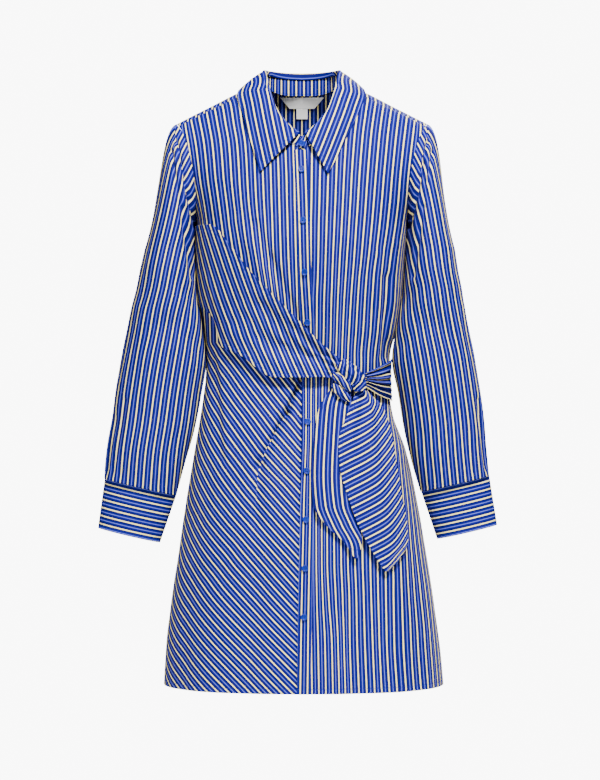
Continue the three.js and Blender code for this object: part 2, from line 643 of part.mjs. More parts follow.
roll("knot_wrap", {
  path: [
    { x: 56, down: 409, out: 14.8, size: 0.7 },
    { x: 64, down: 417, out: 17.2, size: 1 },
    { x: 75, down: 427, out: 18.6, size: 1.1 },
    { x: 83, down: 439, out: 18, size: 1 },
    { x: 85, down: 451, out: 15.6, size: 0.8 },
  ],
  wide: 10.5,
  thick: 6,
});
roll("knot_twist", {
  path: [
    { x: 45, down: 427, out: 14.4, size: 0.55 },
    { x: 54, down: 433, out: 15.4, size: 1 },
    { x: 62.5, down: 441.5, out: 14.8, size: 1 },
    { x: 70.5, down: 450.5, out: 12.6, size: 0.55 },
  ],
  wide: 6.6,
  thick: 5,
});
roll("knot_roll", {
  path: [
    { x: 45.5, down: 441, out: 11.8, size: 0.6 },
    { x: 51.5, down: 448.8, out: 13.1, size: 1 },
    { x: 60.5, down: 457.8, out: 13.3, size: 1.05 },
    { x: 70, down: 463.5, out: 12.7, size: 0.7 },
  ],
  wide: 6,
  thick: 4.6,
});

// Tie ends: strips hanging from the knot, a row per height with both edges and the height off the body.
const tailBack = [
  { along: 0, down: 447, left: 42, right: 64, lift: 5.6 },
  { along: 0.1, down: 476, left: 25, right: 67, lift: 6.8 },
  { along: 0.25, down: 511, left: 18, right: 70, lift: 7 },
  { along: 0.45, down: 577, left: 13, right: 73, lift: 7.4 },
  { along: 0.62, down: 617, left: 16, right: 78, lift: 7.2 },
  { along: 0.76, down: 645, left: 33, right: 83, lift: 7 },
  { along: 0.9, down: 672, left: 60, right: 85, lift: 7 },
  { along: 1, down: 695, left: 75, right: 78, lift: 7 },
];
const tailFront = [
  { along: 0, down: 452, left: 76, right: 92, lift: 8.2 },
  { along: 0.12, down: 482, left: 65, right: 111, lift: 11.2 },
  { along: 0.27, down: 528, left: 51, right: 124, lift: 11.5 },
  { along: 0.42, down: 566, left: 53, right: 130, lift: 11.7 },
  { along: 0.58, down: 606, left: 64, right: 138, lift: 11.4 },
  { along: 0.72, down: 646, left: 78, right: 145, lift: 11.2 },
  { along: 0.84, down: 674, left: 92, right: 147, lift: 10.8 },
  { along: 0.93, down: 697, left: 105, right: 136, lift: 10.6 },
  { along: 1, down: 714, left: 116, right: 120, lift: 10.6 },
];
function tail(name, rows, pleats, high) {
  cloth(name, {
    surface: (u, v) => {
      const down = read(rows, "along", "down", v);
      const x = mix(read(rows, "along", "left", v), read(rows, "along", "right", v), u);
      return ringAt(angleAt(x, down), down);
    },
    lift: (u, v) => read(rows, "along", "lift", v) + high * (0.5 - 0.5 * Math.cos(2 * Math.PI * pleats * u)) * ease(1, 0.15, v) * ease(0, 0.1, v),
    cols: 9,
    rows: 13,
    turn: -1,
  });
}
tail("tail_back", tailBack, 2, 2.2);
tail("tail_front", tailFront, 2.5, 3.4);

// Sleeves: a cap from the armhole to the first section, then a tube down to the cuff.
// The turn round the tube starts at the body and goes by the front: 0.25 front, 0.5 outer, 0.75 back.
function armholePoint(hand, turnShare) {
  const angle = 2 * Math.PI * turnShare;
  const tipDown = ridgeAt(187);
  const down = mix(underarm, tipDown, (1 - Math.cos(angle)) / 2);
  const side = turnShare % 1 < 0.5 ? -1 : 1;
  const x = armholeAt(down);
  return new THREE.Vector3(hand * x, bodyY(x, down, side), -down);
}
function sectionPoint(hand, turnShare, down) {
  const value = (column) => read(sleeveRows, "down", column, down);
  const outer = value(hand < 0 ? "outRight" : "outLeft");
  const inner = value(hand < 0 ? "inRight" : "inLeft");
  const angle = 2 * Math.PI * turnShare;
  const squareness = 2 / 2.25;
  const across = -Math.sign(Math.cos(angle)) * Math.abs(Math.cos(angle)) ** squareness;
  const ahead = -Math.sign(Math.sin(angle)) * Math.abs(Math.sin(angle)) ** squareness;
  const half = (outer - inner) / 2;
  return new THREE.Vector3(hand * ((outer + inner) / 2 + half * across), value("mid") + (value("deep") / 2) * ahead, -down + half * across * value("tip"));
}
const sleeveTop = sleeveRows[0].down;
const capShare = 0.36;
function sleeveSurface(hand, u, v) {
  if (v >= capShare) return sectionPoint(hand, u, mix(sleeveTop, cuffs[hand < 0 ? "right" : "left"].sleeveEnd, (v - capShare) / (1 - capShare)));
  const start = armholePoint(hand, u);
  const end = sectionPoint(hand, u, sleeveTop);
  const angle = 2 * Math.PI * u;
  const height = (1 - Math.cos(angle)) / 2;
  const leave = new THREE.Vector3(hand * mix(0.9, 1, height), -0.55 * Math.sin(angle), mix(-0.75, -0.2, height)).normalize();
  start.addScaledVector(leave, 0.6);
  const span = start.distanceTo(end);
  const t = v / capShare;
  const near = start.clone().addScaledVector(leave, mix(0.3, 0.13, height) * span);
  const far = end.clone().add(new THREE.Vector3(hand * mix(0, -0.13, height) * span, 0, 0.42 * span));
  const k = 1 - t;
  return start.multiplyScalar(k ** 3).addScaledVector(near, 3 * k * k * t).addScaledVector(far, 3 * k * t * t).addScaledVector(end, t ** 3);
}
// Sleeve creases: where round the tube and how far down, with the size of each.
const sleeveFolds = [
  { turn0: 0.3, v0: 0.08, turn1: 0.17, v1: 0.36, wide: 0.035, high: -4 },
  { turn0: 0.38, v0: 0.06, turn1: 0.24, v1: 0.4, wide: 0.03, high: 2.4 },
  { turn0: 0.7, v0: 0.08, turn1: 0.83, v1: 0.36, wide: 0.035, high: -4 },
  { turn0: 0.42, v0: 0.84, turn1: 0.44, v1: 1.02, wide: 0.025, high: -3 },
  { turn0: 0.12, v0: 0.52, turn1: 0.3, v1: 0.6, wide: 0.03, high: -2.2 },
  { turn0: 0.1, v0: 0.62, turn1: 0.26, v1: 0.56, wide: 0.03, high: -2 },
];
function sleeveLift(u, v) {
  let total = 0;
  for (const fold of sleeveFolds) {
    const runTurn = fold.turn1 - fold.turn0;
    const runV = fold.v1 - fold.v0;
    const near = clamp(((u - fold.turn0) * runTurn + (v - fold.v0) * runV) / (runTurn ** 2 + runV ** 2), 0, 1);
    const off = Math.hypot(u - fold.turn0 - near * runTurn, (v - fold.v0 - near * runV) * 0.9);
    total += fold.high * Math.exp(-((off / fold.wide) ** 2));
  }
  return total * ease(0, 0.08, v) * ease(1, 0.97, v);
}
const sleeveVs = [0, 0.02, 0.05, 0.1, 0.15, 0.2, 0.26, 0.31, 0.36, 0.42, 0.48, 0.54, 0.6, 0.67, 0.74, 0.81, 0.88, 0.94, 0.975, 1];

for (const [side, hand] of [["right", -1], ["left", 1]]) {
  cloth(`sleeve_${side}`, {
    surface: (u, v) => sleeveSurface(hand, ((u % 1) + 1) % 1, v),
    lift: sleeveLift,
    us: evenly(20),
    vs: sleeveVs,
    turn: hand > 0 ? -1 : 1,
    wrap: true,
  });
  const cuff = cuffs[side];
  const cuffSurface = (u, v) => {
    const angle = 2 * Math.PI * (0.78 + u * (1 + cuffOverlap));
    const half = mix(cuff.topHalf, cuff.lowHalf, v);
    const across = -Math.cos(angle) * half;
    return new THREE.Vector3(
      mix(cuff.topX, cuff.lowX, v) + hand * across,
      cuffMid - Math.sin(angle) * mix(cuffDeep, cuffDeep - 2, v),
      -mix(cuff.topDown, cuff.lowDown, v) + across * cuffLean,
    );
  };
  cloth(`cuff_${side}`, {
    surface: cuffSurface,
    lift: (u) => (cuffWall + 0.5) * ease(0.8, 0.9, u),
    us: evenly(24),
    rows: 3,
    wall: cuffWall,
    turn: hand > 0 ? -1 : 1,
  });
  const place = cuffSurface(0.955, 0.5);
  const out = facing(cuffSurface, 0.955, 0.5, false).multiplyScalar(hand > 0 ? -1 : 1);
  button(`cuff_button_${side}`, place.addScaledVector(out, cuffWall + 0.5 + 0.4), out, 5);
}

// Four-hole buttons.
function button(name, place, out, radius) {
  const thick = 2.3;
  const circle = (x, y, size, sides) => evenly(sides).slice(1)
    .map((s) => new THREE.Vector2(x + size * Math.cos(2 * Math.PI * s), y + size * Math.sin(2 * Math.PI * s)));
  const outline = new THREE.Shape(circle(0, 0, radius, 14));
  for (const [x, y] of [[1, 1], [-1, 1], [-1, -1], [1, -1]]) {
    outline.holes.push(new THREE.Path(circle(x * 1.15, y * 1.15, 0.65, 5)));
  }
  const geometry = new THREE.ExtrudeGeometry(outline, { depth: thick, bevelEnabled: false, steps: 1 });
  const up = new THREE.Vector3(0, 0, 1);
  geometry.applyQuaternion(new THREE.Quaternion().setFromUnitVectors(up, out));
  geometry.translate(place.x, place.y, place.z);
  const mesh = new THREE.Mesh(geometry, new THREE.MeshStandardMaterial());
  mesh.name = name;
  group.add(mesh);
}

const buttonRadius = 5;
const buttonDowns = [128, 203, 278, 351, 424, 497, 568, 638, 708, 778];
buttonDowns.forEach((down, i) => {
  const x = placketAt(down) - (down > 450 ? 1.2 : 0);
  const place = bodyAt(x, down, -1);
  const slope = (bodyY(x, down + 3, -1) - bodyY(x, down - 3, -1)) / 6;
  const out = new THREE.Vector3(0, -1, -slope).normalize();
  button(`button_${i + 1}`, place.addScaledVector(out, clothWall + overPlacket + (down === 424 ? 1.1 : 0.7)), out, buttonRadius);
});
const neckPoint = standSurface(0.022, 0.42);
const neckOut = facing(standSurface, 0.022, 0.42, false).negate();
button("button_neck", neckPoint.addScaledVector(neckOut, standLap - 0.15), neckOut, buttonRadius);

// Bare label and its tab inside the back of the neck.
const labelRows = [
  { along: 0, down: 4, half: 34 },
  { along: 1, down: 20, half: 19 },
];
const labelLift = -(clothWall + seamGap + 1);
cloth("neck_label", {
  surface: (u, v) => {
    const half = mix(labelRows[0].half, labelRows[1].half, v);
    return bodyAt(mix(-half, half, u), mix(labelRows[0].down, labelRows[1].down, v), 1);
  },
  lift: () => labelLift,
  wall: labelWall,
  cols: 8,
  rows: 2,
  turn: 1,
});
cloth("size_tab", {
  surface: (u, v) => bodyAt(mix(-8.5, 8.5, u), mix(20.6, 35, v), 1),
  lift: () => labelLift,
  wall: labelWall,
  cols: 2,
  rows: 2,
  turn: 1,
});

export default group;
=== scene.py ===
import math

import bpy
import numpy as np
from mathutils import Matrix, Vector


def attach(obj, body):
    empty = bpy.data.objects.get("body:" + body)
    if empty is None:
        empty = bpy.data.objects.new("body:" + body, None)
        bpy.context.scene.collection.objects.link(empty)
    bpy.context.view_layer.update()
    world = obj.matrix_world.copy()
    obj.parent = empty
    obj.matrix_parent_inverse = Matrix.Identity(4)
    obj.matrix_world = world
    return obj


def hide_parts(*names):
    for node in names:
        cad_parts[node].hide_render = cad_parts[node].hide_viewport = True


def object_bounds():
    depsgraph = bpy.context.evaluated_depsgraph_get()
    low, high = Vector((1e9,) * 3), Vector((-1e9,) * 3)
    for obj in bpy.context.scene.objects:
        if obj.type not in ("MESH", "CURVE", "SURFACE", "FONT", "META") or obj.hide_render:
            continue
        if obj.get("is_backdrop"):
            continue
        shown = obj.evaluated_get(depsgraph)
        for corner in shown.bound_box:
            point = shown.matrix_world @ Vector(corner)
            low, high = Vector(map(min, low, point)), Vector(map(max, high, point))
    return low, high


# Striped shirt dress with a wrapped, knotted waist, filled out as if worn and hollow inside.
# Shapes are worked out in millimetres, "down" from the origin between the shoulders, and meshed in metres.

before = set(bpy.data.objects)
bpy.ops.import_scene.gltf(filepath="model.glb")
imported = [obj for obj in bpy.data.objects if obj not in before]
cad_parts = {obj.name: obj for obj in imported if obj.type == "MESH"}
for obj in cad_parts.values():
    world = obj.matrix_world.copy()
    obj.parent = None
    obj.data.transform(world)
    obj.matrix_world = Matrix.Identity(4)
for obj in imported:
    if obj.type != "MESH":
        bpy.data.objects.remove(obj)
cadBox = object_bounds()
print("frame loaded")

shoulderRidge = {"down": -29.2, "slope": 0.53, "soft": 40}
cutting = {
    "repeat": 12.2,       # one stripe repeat across the cloth
    "wall": 0.9,          # thickness given to a single cloth
    "underarm": 200,
    "hem": 889,
    "roundness": 2.3,     # how square the body's level sections are
    "neckCorner": 61,     # where shoulder and neckline meet
    "yokeDrop": 0.19,
    "backSeam": 110,
    "seamGap": 0.14,
    "hemStitch": 7,       # stitch line above the hem
    "seamStitch": 1.5,    # and beside the back seam
}
underarm, hem, roundness = cutting["underarm"], cutting["hem"], cutting["roundness"]

# Level sections of the body by height. Above the underarm the half widths run on past the armhole.
bodySections = {
    "down": [-40, 20, 50, 75, 105, 140, 165, 190, 200, 235, 300,
             350, 400, 430, 460, 490, 540, 600, 690, 780, 840, 889],
    "right": [330, 292, 262, 235, 206, 181, 168, 160, 158, 157.5, 155.5,
              149, 143.5, 144.5, 148, 152.5, 161, 171, 184.5, 197.5, 204, 207],
    "left": [330, 292, 262, 235, 206, 181, 168, 160, 158, 156, 151,
             144, 132, 131, 132, 137, 155.5, 169.5, 185.5, 199.5, 207.5, 212],
    "front": [112, 112, 112, 112, 112, 112, 112.5, 113.5, 114.5, 119, 113,
              103, 97, 97, 101, 108, 120, 132, 143, 150, 154, 156],
    "back": [110, 110, 110, 110, 111, 112, 112, 112, 112, 108, 100,
             93, 90, 92, 98, 105, 118, 133, 146, 155, 159, 161],
}
armhole = {
    "down": [-40, 51, 61, 75, 105, 142, 170, 200],
    "x": [187, 187, 181, 174, 165, 159, 157.3, 158],
}
placketLine = {
    "down": [90, 128, 203, 278, 351, 424, 497, 568, 638, 708, 778, 889],
    "x": [-2.5, -1, 1.5, 3.5, 7.5, 9.5, 9.5, 8, 6.8, 5.3, 4, 2.5],
}


def mix(start, end, share):
    return start + (end - start) * share


def ease(start, end, value):
    share = np.clip((value - start) / (end - start), 0, 1)
    return share * share * (3 - 2 * share)


# A column of a table at any place along it: a cubic through the rows that never overshoots.
def readTable(table, key, column, place):
    keys, values = np.array(table[key], float), np.array(table[column], float)
    rise = np.diff(values) / np.diff(keys)
    slope = np.concatenate([rise[:1], np.zeros(len(keys) - 2), rise[-1:]])
    before, after = rise[:-1], rise[1:]
    same = before * after > 0
    slope[1:-1][same] = 2 * before[same] * after[same] / (before[same] + after[same])
    place = np.clip(place, keys[0], keys[-1])
    i = np.clip(np.searchsorted(keys, place, side="right") - 1, 0, len(keys) - 2)
    step = keys[i + 1] - keys[i]
    t = (place - keys[i]) / step
    return (values[i] * (1 + 2 * t) * (1 - t) ** 2 + slope[i] * step * t * (1 - t) ** 2
            + values[i + 1] * t * t * (3 - 2 * t) + slope[i + 1] * step * t * t * (t - 1))


def halfAt(x, down):
    value = lambda column: readTable(bodySections, "down", column, down)
    return np.where(x < 0, value("right"), value("left"))


# side is -1 on the front and 1 on the back
def depthAt(side, down):
    value = lambda column: readTable(bodySections, "down", column, down)
    return np.where(side < 0, value("front"), value("back"))


def armholeAt(down):
    return readTable(armhole, "down", "x", down)


def placketAt(down):
    return readTable(placketLine, "down", "x", down)


# Drop of the shoulder ridge: a hyperbola in the distance from the centre.
def ridgeAt(x):
    soft = shoulderRidge["soft"]
    return shoulderRidge["down"] + shoulderRidge["slope"] * (np.hypot(x, soft) - soft)


# Depth of the body: a superellipse in x, times a rounding that closes it over the shoulder ridge.
def bodyY(x, down, side):
    swing = (1 - np.clip(np.abs(x) / halfAt(x, down), 0, 1) ** roundness) ** (1 / roundness)
    top = ridgeAt(x)
    share = np.clip((down - top) / (underarm - top), 0, 1)
    power = np.where(side < 0, 1.5, 2.1)
    rounding = np.where(down < underarm, (1 - (1 - share) ** power) ** (1 / power), 1)
    return side * depthAt(side, down) * swing * rounding


def bodyAt(x, down, side):
    x, down = np.broadcast_arrays(np.asarray(x, float), np.asarray(down, float))
    return np.stack([x, bodyY(x, down, side), -down], axis=-1)


# Level ring of the body at an angle from the front centre: the superellipse in polar form.
def ringAt(angle, down):
    angle, down = np.broadcast_arrays(angle, np.asarray(down, float))
    across, ahead = np.sin(angle), np.cos(angle)
    depth = depthAt(np.where(ahead > 0, -1, 1), down)
    reach = ((np.abs(across) / halfAt(across, down)) ** roundness
             + (np.abs(ahead) / depth) ** roundness) ** (-1 / roundness)
    return np.stack([reach * across, -reach * ahead, -down], axis=-1)


def angleAt(x, down):
    return np.arctan2(x, -bodyY(x, down, -1))


# Length of the level body line from x = 0 out to a place, as a fine polyline, signed like x.
def girthTo(x, down, side):
    steps = np.sin(np.linspace(0, np.pi / 2, 26))
    line = x[..., None] * steps
    depth = bodyY(line, down[..., None], side)
    length = np.hypot(np.diff(line, axis=-1), np.diff(depth, axis=-1)).sum(axis=-1)
    return length * np.sign(x)


# Creases: straight runs on the front view, each a bell across the run; lean makes one side of it steeper.
def creaseAt(folds, x, down):
    total = np.zeros(np.broadcast(x, down).shape)
    for x0, down0, x1, down1, wide, high, lean in folds:
        runX, runDown = x1 - x0, down1 - down0
        span = math.hypot(runX, runDown)
        near = np.clip(((x - x0) * runX + (down - down0) * runDown) / span ** 2, 0, 1)
        offX, offDown = x - x0 - near * runX, down - down0 - near * runDown
        side = np.tanh((offX * runDown - offDown * runX) / span / wide)
        total += high * np.exp(-(np.hypot(offX, offDown) / (wide * (1 + lean * side))) ** 2)
    return total


# Soft unevenness: random heights on a square lattice, joined by smooth steps.
def softNoise(x, y, seed):
    heights = np.random.default_rng(seed).uniform(-1, 1, (97, 97))
    column, row = np.floor(x).astype(int), np.floor(y).astype(int)
    fx, fy = x - column, y - row
    fx, fy = fx * fx * (3 - 2 * fx), fy * fy * (3 - 2 * fy)
    at = lambda i, j: heights[(column + i) % 97, (row + j) % 97]
    return mix(mix(at(0, 0), at(1, 0), fx), mix(at(0, 1), at(1, 1), fx), fy)


# Crumple of worn cotton: two sizes of soft noise, drawn out along the stripes.
def crumple(across, along, seed, size=0.5):
    wide = softNoise(across / 34 + 40, along / 62 + 40, seed)
    small = softNoise(across / 15 + 40, along / 27 + 40, seed + 1)
    return size * (wide + 0.42 * small)


# Directions square to a grid surface: rows run down the piece, columns across it.
def squareTo(points, turn, closed=False):
    if closed:
        around = np.roll(points, -1, axis=1) - np.roll(points, 1, axis=1)
    else:
        around = np.gradient(points, axis=1)
    normal = np.cross(around, np.gradient(points, axis=0)) * turn
    return normal / np.maximum(np.linalg.norm(normal, axis=-1, keepdims=True), 1e-9)


# Even steps from 0 to 1 with a narrow first and last one, so that edges stay crisp.
def edged(count, narrow=0.004):
    inner = np.linspace(narrow, 1 - narrow, count - 1)
    return np.concatenate([[0], inner, [1]])


# A mesh from a grid of points in mm. turn is 1 where columns cross rows points out of the body.
# maps holds UV maps by name, a pair of grids in mm; a closed grid has one more column in them than in points.
def gridMesh(name, points, turn, maps, closed=False, capped=False, marks=None):
    rows, columns = points.shape[:2]
    index = np.arange(rows * columns).reshape(rows, columns)
    around = np.concatenate([index, index[:, :1]], axis=1) if closed else index
    corner = lambda grid: np.stack([grid[:-1, :-1], grid[:-1, 1:], grid[1:, 1:], grid[1:, :-1]], axis=2)
    faces = corner(around)
    if turn < 0:
        faces = faces[:, :, ::-1]
    faces = faces.reshape(-1, 4).tolist()
    if capped:
        ends = [index[0], index[-1][::-1]]
        faces += [list(map(int, end if turn < 0 else end[::-1])) for end in ends]
    mesh = bpy.data.meshes.new(name)
    mesh.from_pydata((points.reshape(-1, 3) / 1000).tolist(), [], faces)
    for mapName, (first, second) in maps.items():
        pair = corner(np.stack(np.broadcast_arrays(first, second), axis=-1) / 1000)
        if turn < 0:
            pair = pair[:, :, ::-1]
        flat = np.zeros((len(mesh.loops), 2), np.float32)
        pair = pair.reshape(-1, 2)
        flat[:len(pair)] = pair
        layer = mesh.uv_layers.new(name=mapName)
        layer.uv.foreach_set("vector", flat.ravel())
    for markName, values in (marks or {}).items():
        mark = mesh.attributes.new(markName, "FLOAT", "POINT")
        values = np.broadcast_to(values, points.shape[:2]) / 1000
        mark.data.foreach_set("value", values.astype(np.float32).ravel())
    mesh.polygons.foreach_set("use_smooth", np.ones(len(mesh.polygons), bool))
    mesh.update()
    piece = bpy.data.objects.new(name, mesh)
    bpy.context.scene.collection.objects.link(piece)
    return piece


def addWall(piece, thick):
    wall = piece.modifiers.new("wall", "SOLIDIFY")
    wall.thickness = thick / 1000
    wall.offset = -1
    return piece


# Finish a piece: its material, the body it rides on and the node it stands for.
def settle(piece, material, node):
    piece.data.materials.append(material)
    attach(piece, "root")
    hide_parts(node)
    return piece


# One shader value: + - * / on it add Math nodes.
class Wire:
    def __init__(self, tree, socket):
        self.tree, self.socket = tree, socket

    def math(self, operation, *others):
        values = dict(enumerate((self,) + others))
        node = addNode(self.tree, "ShaderNodeMath", {"operation": operation}, values)
        return Wire(self.tree, node.outputs[0])

    def lifted(self, value):
        return value if isinstance(value, Wire) else Wire(self.tree, value)

    def __add__(self, other):
        return self.math("ADD", other)

    def __sub__(self, other):
        return self.math("SUBTRACT", other)

    def __mul__(self, other):
        return self.math("MULTIPLY", other)

    def __truediv__(self, other):
        return self.math("DIVIDE", other)

    def __rsub__(self, other):
        return self.lifted(other).math("SUBTRACT", self)

    def __rtruediv__(self, other):
        return self.lifted(other).math("DIVIDE", self)

    __radd__ = __add__
    __rmul__ = __mul__


# Any node: its settings first, then values or wires for its sockets.
def addNode(tree, kind, settings=None, sockets=None):
    node = tree.nodes.new(kind)
    for name, value in (settings or {}).items():
        if name == "stops":
            ramp = node.color_ramp
            while len(ramp.elements) < len(value):
                ramp.elements.new(0.5)
            for element, (place, color) in zip(ramp.elements, value):
                element.position = place
                element.color = (*color, 1)
        else:
            setattr(node, name, value)
    for name, value in (sockets or {}).items():
        target = node.inputs[name]
        source = value.socket if isinstance(value, Wire) else value
        if isinstance(source, bpy.types.NodeSocket):
            tree.links.new(source, target)
        else:
            target.default_value = source
    return node


# A material with one shader; finish holds the values that are the same all over.
def newMaterial(name, finish):
    material = bpy.data.materials.new(name)
    material.use_nodes = True
    tree = material.node_tree
    tree.nodes.clear()
    output = addNode(tree, "ShaderNodeOutputMaterial")
    shader = addNode(tree, "ShaderNodeBsdfPrincipled", {}, finish)
    tree.links.new(shader.outputs[0], output.inputs[0])
    return material, tree, shader


shirting = {
    "cream": (0.98, 0.83, 0.31),
    "dark": (0.0004, 0.0, 0.08),
    "mid": (0.0, 0.0, 0.125),
    "pale": (0.085, 0.105, 0.46),
    "creamShare": 0.145,   # where each colour ends, as a share of half a repeat
    "darkShare": 0.6,
    "midShare": 0.9,
    "soft": 0.035,         # blur between two colours, as the same share
    "slub": 0.16,          # how far the dye varies
    "slubScale": 260,
    "thread": 0.36,        # mm between threads
    "weaveHigh": 0.02,     # heights in mm
    "waveHigh": 0.9,
    "waveScale": 42,
    "bump": 0.8,
    "stitch": (0.004, 0.01, 0.2),
    "stitchStep": 2.6,     # mm along the seam, and the share of it that shows
    "stitchShare": 0.78,
    "stitchHalf": 0.3,
    "stitchHigh": 0.2,
    "puckerWide": 1.1,
    "puckerDeep": 0.4,
    "finish": {"Roughness": 0.8, "Specular IOR Level": 0.12},
}


# Colour of the cloth by its distance across the stripes: a ramp over half a repeat, mirrored.
def stripeColour(tree, across):
    place = (across / (cutting["repeat"] / 1000)).math("FRACT")
    away = 1 - 2 * (place - 0.5).math("ABSOLUTE")
    stops, soft = [], shirting["soft"]
    for share, inside, outside in (("creamShare", "cream", "dark"), ("darkShare", "dark", "mid"),
                                   ("midShare", "mid", "pale")):
        stops += [(shirting[share] - soft, shirting[inside]), (shirting[share] + soft, shirting[outside])]
    ramp = addNode(tree, "ShaderNodeValToRGB", {"stops": stops}, {0: away})
    return ramp.outputs[0]


# Cotton: stripes on the cut of the piece, turned ones past its pleat, stitches and pucker along its edge.
def makeShirting():
    material, tree, shader = newMaterial("shirting", shirting["finish"])
    cloth = addNode(tree, "ShaderNodeUVMap", {"uv_map": "cloth"})
    turned = addNode(tree, "ShaderNodeUVMap", {"uv_map": "turned"})
    edge = addNode(tree, "ShaderNodeUVMap", {"uv_map": "edge"})
    pleat = Wire(tree, addNode(tree, "ShaderNodeAttribute", {"attribute_name": "pleat"}).outputs["Fac"])
    beyond = pleat.math("GREATER_THAN", 0.0)
    place = addNode(tree, "ShaderNodeMix", {"data_type": "VECTOR"},
                    {0: beyond, 4: cloth.outputs[0], 5: turned.outputs[0]})
    parts = addNode(tree, "ShaderNodeSeparateXYZ", {}, {0: place.outputs[1]})
    across, along = Wire(tree, parts.outputs[0]), Wire(tree, parts.outputs[1])
    edges = addNode(tree, "ShaderNodeSeparateXYZ", {}, {0: edge.outputs[0]})
    off, run = Wire(tree, edges.outputs[0]), Wire(tree, edges.outputs[1])

    colour = stripeColour(tree, across)
    # slubs and uneven dye: each colour shifts a little along the threads
    slub = addNode(tree, "ShaderNodeTexNoise", {"noise_dimensions": "2D"},
                   {"Vector": place.outputs[1], "Scale": shirting["slubScale"], "Detail": 2})
    uneven = Wire(tree, slub.outputs[0]) * shirting["slub"] + (1 - shirting["slub"] / 2)
    shade = addNode(tree, "ShaderNodeMix", {"data_type": "RGBA", "blend_type": "MULTIPLY"},
                    {0: 1.0, 6: colour, 7: uneven})
    # stitches: short dashes along the line where off is zero
    dash = (run / (shirting["stitchStep"] / 1000)).math("FRACT").math("LESS_THAN", shirting["stitchShare"])
    stitch = off.math("ABSOLUTE").math("LESS_THAN", shirting["stitchHalf"] / 1000) * dash
    threadColour = addNode(tree, "ShaderNodeMix", {"data_type": "RGBA"},
                           {0: stitch, 6: shade.outputs[2], 7: (*shirting["stitch"], 1)})
    tree.links.new(threadColour.outputs[2], shader.inputs["Base Color"])

    spacing = shirting["thread"] / 1000
    weft = (along / spacing * 2 * math.pi).math("SINE")
    warp = (across / spacing * 2 * math.pi).math("SINE")
    groove = off / (shirting["puckerWide"] / 1000)
    pucker = (groove * groove * -1).math("EXPONENT")
    wave = addNode(tree, "ShaderNodeTexNoise", {"noise_dimensions": "2D"},
                   {"Vector": place.outputs[1], "Scale": shirting["waveScale"], "Detail": 3,
                    "Roughness": 0.55})
    height = (weft * warp * (shirting["weaveHigh"] / 1000)
              + Wire(tree, wave.outputs[0]) * (shirting["waveHigh"] / 1000)
              - pucker * (shirting["puckerDeep"] / 1000) + stitch * (shirting["stitchHigh"] / 1000))
    bump = addNode(tree, "ShaderNodeBump", {},
                   {"Strength": shirting["bump"], "Distance": 1.0, "Height": height})
    tree.links.new(bump.outputs[0], shader.inputs["Normal"])
    return material


resin = {
    "deep": (0.0, 0.006, 0.16),
    "light": (0.0004, 0.016, 0.28),
    "cloud": 180,          # scale of the mottling
    "finish": {"Roughness": 0.4, "Specular IOR Level": 0.2, "Coat Weight": 0.04, "Coat Roughness": 0.2},
}


def makeResin():
    material, tree, shader = newMaterial("blueResin", resin["finish"])
    position = addNode(tree, "ShaderNodeTexCoord").outputs["Object"]
    cloud = addNode(tree, "ShaderNodeTexNoise", {},
                    {"Vector": position, "Scale": resin["cloud"], "Detail": 2})
    ramp = addNode(tree, "ShaderNodeValToRGB", {"stops": [(0.3, resin["deep"]), (0.7, resin["light"])]},
                   {0: cloud.outputs[0]})
    tree.links.new(ramp.outputs[0], shader.inputs["Base Color"])
    return material


tape = {
    "ribStep": 0.5,        # mm
    "ribHigh": 0.01,
    "lift": -2.0,          # mm inside the yoke
    "wall": 0.5,
    "finish": {"Base Color": (0.95, 0.95, 0.93, 1), "Roughness": 0.45},
}


def makeTape():
    material, tree, shader = newMaterial("satinTape", tape["finish"])
    position = addNode(tree, "ShaderNodeTexCoord").outputs["Object"]
    parts = addNode(tree, "ShaderNodeSeparateXYZ", {}, {0: position})
    turns = Wire(tree, parts.outputs[2]) * 2 * math.pi / (tape["ribStep"] / 1000)
    ribs = turns.math("SINE") * (tape["ribHigh"] / 1000)
    bump = addNode(tree, "ShaderNodeBump", {}, {"Strength": 0.6, "Distance": 1.0, "Height": ribs})
    tree.links.new(bump.outputs[0], shader.inputs["Normal"])
    return material


shirtingMaterial, resinMaterial, tapeMaterial = makeShirting(), makeResin(), makeTape()
print("materials made")

far = 500  # an edge distance that carries no stitching


# Build a piece of cloth from its base points, its lift off them and its maps: cloth is across and along the
# stripes, edge the distance from the stitch line and along it, turned and pleat the cloth past a pleat.
def cutPiece(node, part, points, lift, turn, cloth, edge, turned=None, pleat=None, closed=False):
    raised = points + squareTo(points, turn, closed) * np.broadcast_to(lift, points.shape[:2])[..., None]
    maps = {"cloth": cloth, "edge": edge}
    if turned is not None:
        maps["turned"] = turned
    marks = {"pleat": pleat} if pleat is not None else None
    piece = gridMesh(node + "_cloth", raised, turn, maps, closed, False, marks)
    addWall(piece, part.get("wall", cutting["wall"]))
    settle(piece, shirtingMaterial, node)
    print(node, "made")


# Height of a panel's creases and crumple, none at its side edges.
def panelLift(part, u, x, down, girth):
    height = creaseAt(part["folds"] + part["fineFolds"], x, down) + crumple(girth, down, part["seed"])
    return height * ease(0, part["fade"], u) * ease(1, 0.97, u)


# Front panels: columns from the centre to the side seam, by the level ring below the underarm.
def frontColumn(hand, u, down):
    reach = np.sin(np.pi / 2 * u)
    gap = cutting["seamGap"]
    centre = placketAt(down) + hand * gap / 2
    above = bodyAt(mix(centre, hand * armholeAt(down), reach), down, -1)
    startX = placketAt(underarm) + hand * gap / 2
    start = angleAt(startX, underarm)
    x = mix(startX, hand * armholeAt(underarm), reach)
    share = (angleAt(x, underarm) - start) / (hand * np.pi / 2 - start)
    side = hand * (np.pi / 2 - gap / 2 / halfAt(hand, down))
    below = ringAt(mix(angleAt(centre, down), side, share), down)
    return np.where((down < underarm)[..., None], above, below)


